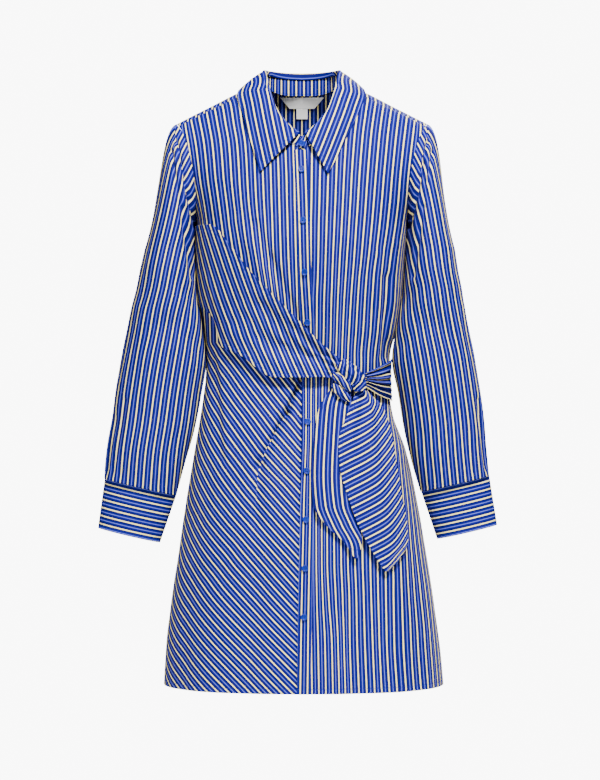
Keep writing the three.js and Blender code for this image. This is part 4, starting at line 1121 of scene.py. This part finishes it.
# A roll of gathered cloth: an oval carried along a path on the front, with lengthwise ridges that turn.
def rollPoints(part, steps=90, columns=72):
    table = {"step": list(range(len(part["path"]["x"]))), **part["path"]}
    s = np.linspace(0, table["step"][-1], steps)
    value = lambda column: readTable(table, "step", column, s)
    x, down = value("x"), value("down")
    centre = np.stack([x, bodyY(x, down, -1) - value("out"), -down], axis=-1)
    run = np.gradient(centre, axis=0)
    run /= np.linalg.norm(run, axis=-1, keepdims=True)
    outward = np.array([0.25, -1, 0]) + run * run[:, 1:2]
    outward /= np.linalg.norm(outward, axis=-1, keepdims=True)
    across = np.cross(run, outward)
    across /= np.linalg.norm(across, axis=-1, keepdims=True)
    angle = np.linspace(0, 2 * np.pi, columns, endpoint=False)[None, :]
    share = (s / s[-1])[:, None]
    turn, ridges = part["twist"] * share, part["ridges"]
    deep, fine = rollRidges
    ridge = 1 + deep * np.sin(ridges * angle + turn) + fine * np.sin((2 * ridges + 1) * angle - turn)
    size = value("size")[:, None] * ridge
    points = (centre[:, None, :] + across[:, None, :] * (np.cos(angle) * part["wide"] * size)[..., None]
              + outward[:, None, :] * (np.sin(angle) * part["thick"] * size)[..., None])
    return points, angle, share


def makeRoll(node, part):
    points, angle, share = rollPoints(part)
    closedAngle = np.concatenate([angle, [[2 * np.pi]]], axis=1)
    girth = (part["wide"] + part["thick"]) / 2 * (closedAngle - np.pi / 2)
    along = share * part["length"] + 0 * girth
    lean = math.radians(part["lean"])
    across = (girth * math.cos(lean) + along * math.sin(lean)) * part["crowd"]
    piece = gridMesh(node + "_cloth", points, 1, {"cloth": (across, along), "edge": (far, along)}, True, True)
    settle(piece, shirtingMaterial, node)
    print(node, "made")


# Each roll: its path on the front with the height off it and a size along it, the oval's half width and half
# depth, the ridges and their turn, and for the stripes a length, a lean and a share that crowds them.
knot = {
    "knot_wrap": {
        "path": {"x": [56, 64, 75, 83, 85], "down": [409, 417, 427, 439, 451],
                 "out": [14.8, 17.2, 18.6, 18, 15.6], "size": [0.7, 1, 1.1, 1, 0.8]},
        "wide": 10.5, "thick": 6, "ridges": 5, "twist": 1.4, "length": 52, "lean": 54, "crowd": 1.15,
    },
    "knot_twist": {
        "path": {"x": [45, 54, 62.5, 70.5], "down": [427, 433, 441.5, 450.5],
                 "out": [14.4, 15.4, 14.8, 12.6], "size": [0.55, 1, 1, 0.55]},
        "wide": 6.6, "thick": 5, "ridges": 4, "twist": 5, "length": 36, "lean": 18, "crowd": 1.3,
    },
    "knot_roll": {
        "path": {"x": [45.5, 51.5, 60.5, 70], "down": [441, 448.8, 457.8, 463.5],
                 "out": [11.8, 13.1, 13.3, 12.7], "size": [0.6, 1, 1.05, 0.7]},
        "wide": 6, "thick": 4.6, "ridges": 4, "twist": 4, "length": 34, "lean": 26, "crowd": 1.2,
    },
}
for knotNode, knotPart in knot.items():
    makeRoll(knotNode, knotPart)

# Tie ends: both edges on the front by height, and the height off the body.
tails = {
    "tail_back": {
        "rows": {
            "along": [0, 0.1, 0.25, 0.45, 0.62, 0.76, 0.9, 1],
            "down": [447, 476, 511, 577, 617, 645, 672, 695],
            "left": [42, 25, 18, 13, 16, 33, 60, 75],
            "right": [64, 67, 70, 73, 78, 83, 85, 78],
            "lift": [5.6, 6.8, 7, 7.4, 7.2, 7, 7, 7],
        },
        "pleats": 2, "high": 2.2, "slant": 4, "lengthwise": True, "about": 560, "turned": 0.4,
        "stitch": 5, "wall": 1.2,
        "flat": (0.085, 0.29), "area": 0.0135, "held": "hung", "restsOn": ["front_left"],
    },
    "tail_front": {
        "rows": {
            "along": [0, 0.12, 0.27, 0.42, 0.58, 0.72, 0.84, 0.93, 1],
            "down": [452, 482, 528, 566, 606, 646, 674, 697, 714],
            "left": [76, 65, 51, 53, 64, 78, 92, 105, 116],
            "right": [92, 111, 124, 130, 138, 145, 147, 136, 120],
            "lift": [8.2, 11.2, 11.5, 11.7, 11.4, 11.2, 10.8, 10.6, 10.6],
        },
        "pleats": 2.5, "high": 3.4, "slant": 27, "lengthwise": False, "bendFrom": 0.3, "bend": 57,
        "stitch": 5, "wall": 1.2,
        "flat": (0.1, 0.32), "area": 0.0205, "held": "hung", "restsOn": ["front_left"],
    },
}


# A tie end: straight across between its two edges on the front, raised by a wave of soft pleats.
def makeTail(node, part):
    u, v = np.meshgrid(edged(60, 0.012), edged(150, 0.004))
    value = lambda column: readTable(part["rows"], "along", column, v)
    down, left, right = value("down"), value("left"), value("right")
    x = mix(left, right, u)
    points = ringAt(angleAt(x, down), down)
    fade = ease(1, 0.15, v) * ease(0, 0.1, v)
    lift = value("lift") + part["high"] * (0.5 - 0.5 * np.cos(2 * np.pi * part["pleats"] * u)) * fade
    lift = lift + crumple(x, down, 91, 0.5) * ease(0, 0.2, v)
    slant = math.radians(part["slant"])
    if part["lengthwise"]:
        middle = (left + right) / 2
        across = (x - middle) * math.cos(slant) + (down - part["about"]) * math.sin(slant) * part["turned"]
    else:
        bend = part["bend"] * np.maximum(0, u - part["bendFrom"]) ** 3
        across = down * math.cos(slant) + x * math.sin(slant) + bend
    edge = np.minimum(u, 1 - u) * (right - left) - part["stitch"]
    cutPiece(node, part, points, lift, -1, (across, down), (edge, down))


for tailNode, tailPart in tails.items():
    makeTail(tailNode, tailPart)

sleeves = {
    # level sections by height: outer and inner edge of each sleeve, depth and its middle, and the tip, by how
    # much a section rises towards the outside
    "rows": {
        "down": [240, 270, 300, 330, 360, 400, 450, 500, 545, 595],
        "outRight": [235, 241.5, 247.5, 255, 261, 269, 277.5, 284.5, 291.5, 296],
        "inRight": [160.2, 158.6, 157, 151.4, 146.6, 142.8, 150.4, 160.5, 174, 188],
        "outLeft": [228.5, 232.5, 238.5, 243, 249, 257.5, 265.5, 272, 275.5, 280.5],
        "inLeft": [154.6, 153, 150.4, 145.4, 139.6, 134.4, 144, 152.5, 163.5, 178.5],
        "deep": [142, 137, 130, 123, 117, 111, 105, 99, 92, 72],
        "mid": [-10, -14, -15, -15, -14, -12, -10, -9, -9, -10],
        "tip": [0, 0.01, 0.02, 0.03, 0.05, 0.07, 0.1, 0.14, 0.19, 0.235],
    },
    # outer line by height, for the stripes, run on up over the cap
    "outline": {
        "down": [20, 60, 90, 120, 150, 180, 210, 240],
        "right": [182, 192, 202, 209, 215, 221, 227.5, 235],
        "left": [178, 188, 199.5, 206, 212, 217.8, 223, 228.5],
        "wide": [52, 56, 60, 63, 66, 68, 69, 69],
        "deep": [90, 104, 116, 126, 134, 139, 141, 142],
    },
    "capShare": 0.36,
    # how the cap leaves the armhole, at the underarm and at the shoulder, and how it meets the first section
    "leave": {"out": (0.02, 1), "down": (0.75, 0.2), "long": (0.3, 0.13), "swing": 0.55, "start": 0.2},
    "meet": {"in": 0.13, "above": 0.42},
    # round the tube and down it at both ends, width, height
    "folds": [
        (0.7, 0.08, 0.83, 0.36, 0.035, -4),
        (0.42, 0.84, 0.44, 1.02, 0.025, -3),
        (0.12, 0.52, 0.3, 0.6, 0.03, -2.2),
        (0.1, 0.62, 0.26, 0.56, 0.03, -2),
    ],
    "fineFolds": [
        (0.62, 0.06, 0.74, 0.4, 0.03, 2.2),
        (0.05, 0.5, 0.2, 0.46, 0.025, -1.6),
        (0.34, 0.45, 0.46, 0.7, 0.03, -1.2),
        (0.55, 0.5, 0.62, 0.9, 0.04, -1.6),
        (0.8, 0.5, 0.68, 0.62, 0.03, -2),
        (0.3, 0.8, 0.34, 1.02, 0.02, -1.8),
        (0.6, 0.86, 0.6, 1.02, 0.022, -2),
        (0.72, 0.82, 0.7, 1.02, 0.022, -2.2),
        (0.15, 0.86, 0.17, 1.02, 0.02, -1.6),
    ],
    # creases of the front by distance from the middle of the dress and down
    "capFolds": [
        (187, 79, 179, 112, 2.4, -4, 0),
        (179, 112, 167, 168, 2.6, -5, 0),
        (167, 168, 158, 208, 2.8, -3.5, 0),
        (194, 95, 178, 180, 2.6, -3.2, 0),
        (178, 180, 163, 281, 3.6, -3, 0),
        (187, 110, 174, 178, 4, 2.2, 0),
        (262, 465, 283, 582, 4, -2.6, 0),
        (196, 380, 214, 560, 9, -1.6, 0),
        (236, 330, 226, 470, 12, 1.4, 0),
    ],
    # outside this line the stripes run with the sleeve, inside it they fan out from the seam
    "fan": {"down": [60, 79, 112, 140, 168, 200, 225], "right": [190, 187, 179, 173, 167, 159, 154],
            "left": [188, 184, 177, 172, 167, 159, 153], "lean": 25, "pitch": 10.9},
    "pitch": 11.5,
    "firstCream": 13.8,    # from the outer line
    "squeeze": 0.5,        # share of the cloth kept where it turns over the outer and inner line
    "edgeTurn": 0.87,      # and how far round each of them that goes, as an angle
    "seed": {"right": 101, "left": 111},
    "flat": (0.4, 0.6), "area": 0.162, "held": "hung",
}
cuffs = {
    "right": {"sleeveEnd": 594.6, "topX": -241.5, "topDown": 595, "topHalf": 53.5,
              "lowX": -258.7, "lowDown": 667, "lowHalf": 46.5},
    "left": {"sleeveEnd": 589.6, "topX": 229.2, "topDown": 590, "topHalf": 51,
             "lowX": 247, "lowDown": 662, "lowHalf": 45},
    "deep": 31, "mid": -10, "lean": 0.235, "start": 0.78, "lap": 0.085, "lapHigh": 2.3, "buttonHigh": 2.7,
    "wide": 76, "tall": 73, "round": 285, "firstCream": 6.9, "stitch": 5,
    "wall": 1.5, "flat": (0.29, 0.074), "area": 0.0205, "held": "folded",
}


# Armhole: heights by a cosine of the turn, from the underarm over the shoulder ridge and back.
def armholePoint(hand, turn):
    down = mix(underarm, ridgeAt(armhole["x"][0]), (1 - np.cos(2 * np.pi * turn)) / 2)
    x = armholeAt(down)
    side = np.where(turn % 1 < 0.5, -1, 1)
    return np.stack([hand * x, bodyY(x, down, side), -down], axis=-1)


# Level section of a sleeve: a superellipse between its inner and outer edge, tipped towards the cuff.
def sectionPoint(hand, turn, down):
    value = lambda column: readTable(sleeves["rows"], "down", column, down)
    side = "Right" if hand < 0 else "Left"
    outer, inner = value("out" + side), value("in" + side)
    cosine, sine = np.cos(2 * np.pi * turn), np.sin(2 * np.pi * turn)
    square = 2 / 2.25
    across, ahead = -np.sign(cosine) * np.abs(cosine) ** square, -np.sign(sine) * np.abs(sine) ** square
    half = (outer - inner) / 2
    return np.stack([hand * ((outer + inner) / 2 + half * across), value("mid") + value("deep") / 2 * ahead,
                     -down + half * across * value("tip")], axis=-1)


# Cap: a cubic from the armhole, leaving it outwards, to the first section, which it meets from above.
def sleevePoint(hand, turn, v, end):
    capShare, top = sleeves["capShare"], sleeves["rows"]["down"][0]
    tube = sectionPoint(hand, turn, mix(top, end, np.clip((v - capShare) / (1 - capShare), 0, 1)))
    start, foot = armholePoint(hand, turn), sectionPoint(hand, turn, np.full(v.shape, float(top)))
    height = (1 - np.cos(2 * np.pi * turn)) / 2
    out, meet = sleeves["leave"], sleeves["meet"]
    leave = np.stack([hand * mix(*out["out"], height), -out["swing"] * np.sin(2 * np.pi * turn),
                      -mix(*out["down"], height)], axis=-1)
    leave /= np.linalg.norm(leave, axis=-1, keepdims=True)
    start = start + leave * out["start"]
    span = np.linalg.norm(foot - start, axis=-1)[..., None]
    near = start + leave * mix(*out["long"], height)[..., None] * span
    pull = np.stack([hand * mix(0, -meet["in"], height), 0 * height, 0 * height + meet["above"]], axis=-1)
    target = foot + pull * span
    t = np.clip(v / capShare, 0, 1)[..., None]
    k = 1 - t
    cap = start * k ** 3 + near * 3 * k * k * t + target * 3 * k * t * t + foot * t ** 3
    return np.where((v >= capShare)[..., None], tube, cap)


# Creases of a sleeve: straight runs in turn and length, each a bell across the run.
def sleeveLift(u, v):
    total = np.zeros(u.shape)
    for turn0, v0, turn1, v1, wide, high in sleeves["folds"] + sleeves["fineFolds"]:
        runTurn, runV = turn1 - turn0, v1 - v0
        near = np.clip(((u - turn0) * runTurn + (v - v0) * runV) / (runTurn ** 2 + runV ** 2), 0, 1)
        off = np.hypot(u - turn0 - near * runTurn, (v - v0 - near * runV) * 0.9)
        total += high * np.exp(-(off / wide) ** 2)
    return total


# Width of a level oval from its outer line to a turn, as seen from the front.
def ovalWidth(turn, wide):
    return (1 - np.cos(turn)) * wide / 2


# How much longer the way round the oval is, by a fine polyline.
def ovalExtra(turn, wide, deep):
    angle = turn[..., None] * np.linspace(0, 1, 20)
    x, y = np.cos(angle) * wide[..., None] / 2, np.sin(angle) * deep[..., None] / 2
    return np.hypot(np.diff(x, axis=-1), np.diff(y, axis=-1)).sum(axis=-1) - ovalWidth(turn, wide)


# Stripe coordinate of a sleeve: even steps from its outer line, with some of the cloth turned out of sight.
def sleeveStripe(side, hand, points):
    x, y, down = points[..., 0] * hand, points[..., 1], -points[..., 2]
    tail = side.capitalize()
    low = lambda column: readTable(sleeves["rows"], "down", column, down)
    cap = lambda column: readTable(sleeves["outline"], "down", column, down)
    onCap = down < sleeves["rows"]["down"][0]
    outer = np.where(onCap, cap(side), low("out" + tail))
    wide = np.where(onCap, cap("wide"), low("out" + tail) - low("in" + tail))
    deep = np.where(onCap, cap("deep"), low("deep"))
    turn = np.arctan2(np.abs(y - low("mid")) / deep * 2, (x - outer + wide / 2) / wide * 2)
    edge = sleeves["edgeTurn"]
    inner = ovalExtra(turn, wide, deep) - ovalExtra(np.minimum(turn, np.pi - edge), wide, deep)
    extra = (ovalExtra(np.minimum(turn, edge), wide, deep) - ovalExtra(np.full(turn.shape, edge), wide, deep)
             + inner * ease(210, 300, down))
    away = mix(ovalWidth(turn, wide), outer - x, ease(0.25, 0.9, turn)) - sleeves["firstCream"]
    stripe = (away + sleeves["squeeze"] * extra) / sleeves["pitch"] * cutting["repeat"]
    fan = sleeves["fan"]
    lean = math.radians(fan["lean"])
    fanned = (x - math.tan(lean) * down) * math.cos(lean) / fan["pitch"] * cutting["repeat"]
    inside = np.where(y < 0, readTable(fan, "down", side, down) - x, -1)
    return stripe, fanned, np.where(down < 222, inside, -1)


# A sleeve closes on itself: its maps have one more column than its points.
def makeSleeve(side, hand):
    turns, v = np.meshgrid(np.linspace(0, 1, 161), edged(190, 0.002))
    whole = sleevePoint(hand, turns, v, cuffs[side]["sleeveEnd"])
    stripe, fanned, inside = sleeveStripe(side, hand, whole)
    downs = -whole[..., 2]
    points, u, v = whole[:, :-1], turns[:, :-1], v[:, :-1]
    x, down = hand * points[..., 0], -points[..., 2]
    front = ease(0.02, 0.06, u) * ease(0.49, 0.45, u)
    lift = (sleeveLift(u, v) + creaseAt(sleeves["capFolds"], x, down) * front
            + crumple(u * 330, down, sleeves["seed"][side]) * ease(0, 0.1, u) * ease(1, 0.9, u))
    lift *= ease(0, 0.05, v) * ease(1, 0.97, v)
    cutPiece("sleeve_" + side, sleeves, points, lift, -hand, (stripe, downs), (far, downs),
             turned=(fanned, downs), pleat=inside[:, :-1], closed=True)


# Cuff: a strip round an oval whose ends lap at the back.
def cuffPoint(side, hand, u, v):
    cuff = cuffs[side]
    angle = 2 * np.pi * (cuffs["start"] + u * (1 + cuffs["lap"]))
    across = -np.cos(angle) * mix(cuff["topHalf"], cuff["lowHalf"], v)
    y = cuffs["mid"] - np.sin(angle) * mix(cuffs["deep"], cuffs["deep"] - 2, v)
    z = -mix(cuff["topDown"], cuff["lowDown"], v) + across * cuffs["lean"]
    return np.stack([mix(cuff["topX"], cuff["lowX"], v) + hand * across, y, z], axis=-1)


def makeCuff(side, hand):
    u, v = np.meshgrid(edged(120, 0.003), edged(30, 0.012))
    points = cuffPoint(side, hand, u, v)
    across, run = v * cuffs["wide"], u * cuffs["round"]
    edge = np.minimum(np.minimum(v, 1 - v) * cuffs["tall"], np.minimum(u, 1 - u) * cuffs["round"])
    edge -= cuffs["stitch"]
    cutPiece("cuff_" + side, cuffs, points, cuffs["lapHigh"] * ease(0.8, 0.9, u), -hand,
             (across - cuffs["firstCream"], run), (edge, run + across))


for sideName, sideHand in (("right", -1), ("left", 1)):
    makeSleeve(sideName, sideHand)
    makeCuff(sideName, sideHand)

buttons = {
    "radius": 5, "thick": 2.3, "rimDrop": 0.7, "dish": 0.55,
    "holeOut": 1.15, "hole": 0.62, "holeSoft": 0.14, "holeDeep": 1.2,
    "downs": [128, 203, 278, 351, 424, 497, 568, 638, 708, 778],
    "sewn": 0.7,           # from the cloth to the button, and under the wrap
    "sewnDeep": 1.1,
    "underWrap": 424,
    "skirtShift": -1.2,    # the buttons on the skirt sit beside the middle of the placket
}


# A button turned about its axis: rounded rim, dished middle and four pits, as heights over rings and turns.
def makeButton(node, place, out):
    radius = buttons["radius"]
    rings = [[0.004], np.linspace(0.06, 0.84, 18), [0.9, 0.94, 0.976, 0.994, 1, 1, 0.98, 0.92]]
    angle = np.linspace(0, 2 * np.pi, 40, endpoint=False)
    ring, a = np.meshgrid(np.concatenate(rings), angle, indexing="ij")
    r = ring * radius
    height = buttons["thick"] - buttons["rimDrop"] * np.clip((ring - 0.86) / 0.14, 0, 1) ** 2
    height -= buttons["dish"] * ease(0.78, 0.62, ring)
    for across, along in ((1, 1), (-1, 1), (-1, -1), (1, -1)):
        offX = r * np.cos(a) - across * buttons["holeOut"]
        offY = r * np.sin(a) - along * buttons["holeOut"]
        off = np.hypot(offX, offY)
        pit = ease(buttons["hole"] + buttons["holeSoft"], buttons["hole"] - buttons["holeSoft"], off)
        height = height - buttons["holeDeep"] * pit
    height[-3], height[-2], height[-1] = 0.4, 0.1, 0.0    # outer wall and underside
    out = np.array(out, float)
    side = np.cross([0, 0, 1.0], out)
    side /= np.linalg.norm(side)
    up = np.cross(out, side)
    points = (np.array(place, float) + side * (r * np.cos(a))[..., None] + up * (r * np.sin(a))[..., None]
              + out * height[..., None])
    piece = gridMesh(node + "_turned", points, -1, {}, True, True)
    settle(piece, resinMaterial, node)


# Place and direction of the buttons come from the same lines as the cloth that they sit on.
for number, buttonDown in enumerate(buttons["downs"], start=1):
    shift = buttons["skirtShift"] if buttonDown > 450 else 0
    buttonX = np.array(float(placketAt(buttonDown)) + shift)
    above, below = (float(bodyY(buttonX, np.array(buttonDown + step), -1)) for step in (-3.0, 3.0))
    slope = (below - above) / 6
    facing = np.array([0, -1, -slope]) / math.hypot(1, slope)
    sewn = buttons["sewnDeep"] if buttonDown == buttons["underWrap"] else buttons["sewn"]
    buttonSpot = bodyAt(buttonX, buttonDown, -1) + facing * (placket["lift"] + sewn)
    makeButton(f"button_{number}", buttonSpot, facing)


# Centre and direction of a spot on a curved piece.
def spotOn(surface, u, v, turn):
    step = 0.004
    grid = np.meshgrid(np.array([u - step, u, u + step]), np.array([v - step, v, v + step]))
    points = surface(*grid)
    return points[1, 1], squareTo(points, turn)[1, 1]


neckSpot, neckOut = spotOn(standPoint, 0.022, 0.42, -1)
makeButton("button_neck", neckSpot + neckOut * (collar["standLap"] + buttons["sewn"]), neckOut)
for sideName, sideHand in (("right", -1), ("left", 1)):
    cuffSpot, cuffOut = spotOn(lambda u, v: cuffPoint(sideName, sideHand, u, v), 0.955, 0.5, -sideHand)
    makeButton("cuff_button_" + sideName, cuffSpot + cuffOut * cuffs["buttonHigh"], cuffOut)
print("buttons made")

labels = {
    "neck_label": {"top": 4, "low": 20, "topHalf": 34, "lowHalf": 19, "flat": (0.07, 0.02), "area": 0.00095},
    "size_tab": {"top": 20.6, "low": 35, "topHalf": 8.5, "lowHalf": 8.5, "flat": (0.018, 0.016),
                 "area": 0.00027},
}


# A bare piece of tape, straight between its top and lower edge, inside the back of the neck.
def makeTapePiece(node, part):
    u, v = np.meshgrid(edged(30, 0.01), edged(16, 0.02))
    down = mix(part["top"], part["low"], v)
    x = mix(-1, 1, u) * mix(part["topHalf"], part["lowHalf"], v)
    points = bodyAt(x, down, 1)
    raised = points + squareTo(points, 1) * tape["lift"]
    piece = gridMesh(node + "_tape", raised, 1, {"cloth": (x, down)}, False, False)
    addWall(piece, tape["wall"])
    settle(piece, tapeMaterial, node)


for labelNode, labelPart in labels.items():
    makeTapePiece(labelNode, labelPart)
print("labels made")

studio = {
    "floorDown": 1.32,
    "floorRadius": 1.7,
    "paper": {"Base Color": (0.92, 0.92, 0.92, 1), "Roughness": 0.9},
    "cameraPlace": (-0.003, -4, -0.45),
    "lens": 123.08,
    "sky": 0.2,
    "backdrop": 9,
    "aim": (0, 0, -0.4),
    "lights": [
        # name, place, size, watts
        ("keyLight", (0.7, -2.2, 2.5), 0.8, 510),
        ("fillLight", (-1.6, -3.7, 0.5), 1.6, 75),
        ("backLight", (0.9, 3.0, 1.8), 2.0, 300),
    ],
}


def makeFloor():
    angle = np.linspace(0, 2 * np.pi, 97)[:-1]
    ring = np.stack([np.cos(angle), np.sin(angle), 0 * angle], axis=-1)
    points = np.stack([ring * 0.01, ring * studio["floorRadius"]]) * 1000
    points[..., 2] = -studio["floorDown"] * 1000
    floor = gridMesh("floor", points, -1, {}, True, False)
    floor.data.materials.append(newMaterial("paper", studio["paper"])[0])
    floor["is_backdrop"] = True


# A faint sky lights the dress; the camera sees it bright, as a white backdrop.
def makeWorld():
    world = bpy.data.worlds.new("studio")
    world.use_nodes = True
    tree = world.node_tree
    seen = Wire(tree, addNode(tree, "ShaderNodeLightPath").outputs["Is Camera Ray"])
    background = tree.nodes["Background"]
    background.inputs[0].default_value = (1, 1, 1, 1)
    tree.links.new((seen * studio["backdrop"] + studio["sky"]).socket, background.inputs[1])
    bpy.context.scene.world = world


def makeLight(name, place, size, watts):
    data = bpy.data.lights.new(name, "AREA")
    data.shape, data.size, data.energy = "DISK", size, watts
    lamp = bpy.data.objects.new(name, data)
    lamp.location = place
    lamp.rotation_euler = (Vector(studio["aim"]) - Vector(place)).to_track_quat("-Z", "Y").to_euler()
    bpy.context.scene.collection.objects.link(lamp)


def makeCamera():
    data = bpy.data.cameras.new("camera")
    data.lens, data.sensor_width = studio["lens"], 36
    camera = bpy.data.objects.new("camera", data)
    camera.location = studio["cameraPlace"]
    camera.rotation_euler = (math.pi / 2, 0, 0)
    bpy.context.scene.collection.objects.link(camera)
    bpy.context.scene.camera = camera


makeFloor()
makeWorld()
for light in studio["lights"]:
    makeLight(*light)
makeCamera()
print("studio made")

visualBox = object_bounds()
{"cad": [list(corner) for corner in cadBox], "visual": [list(corner) for corner in visualBox]}
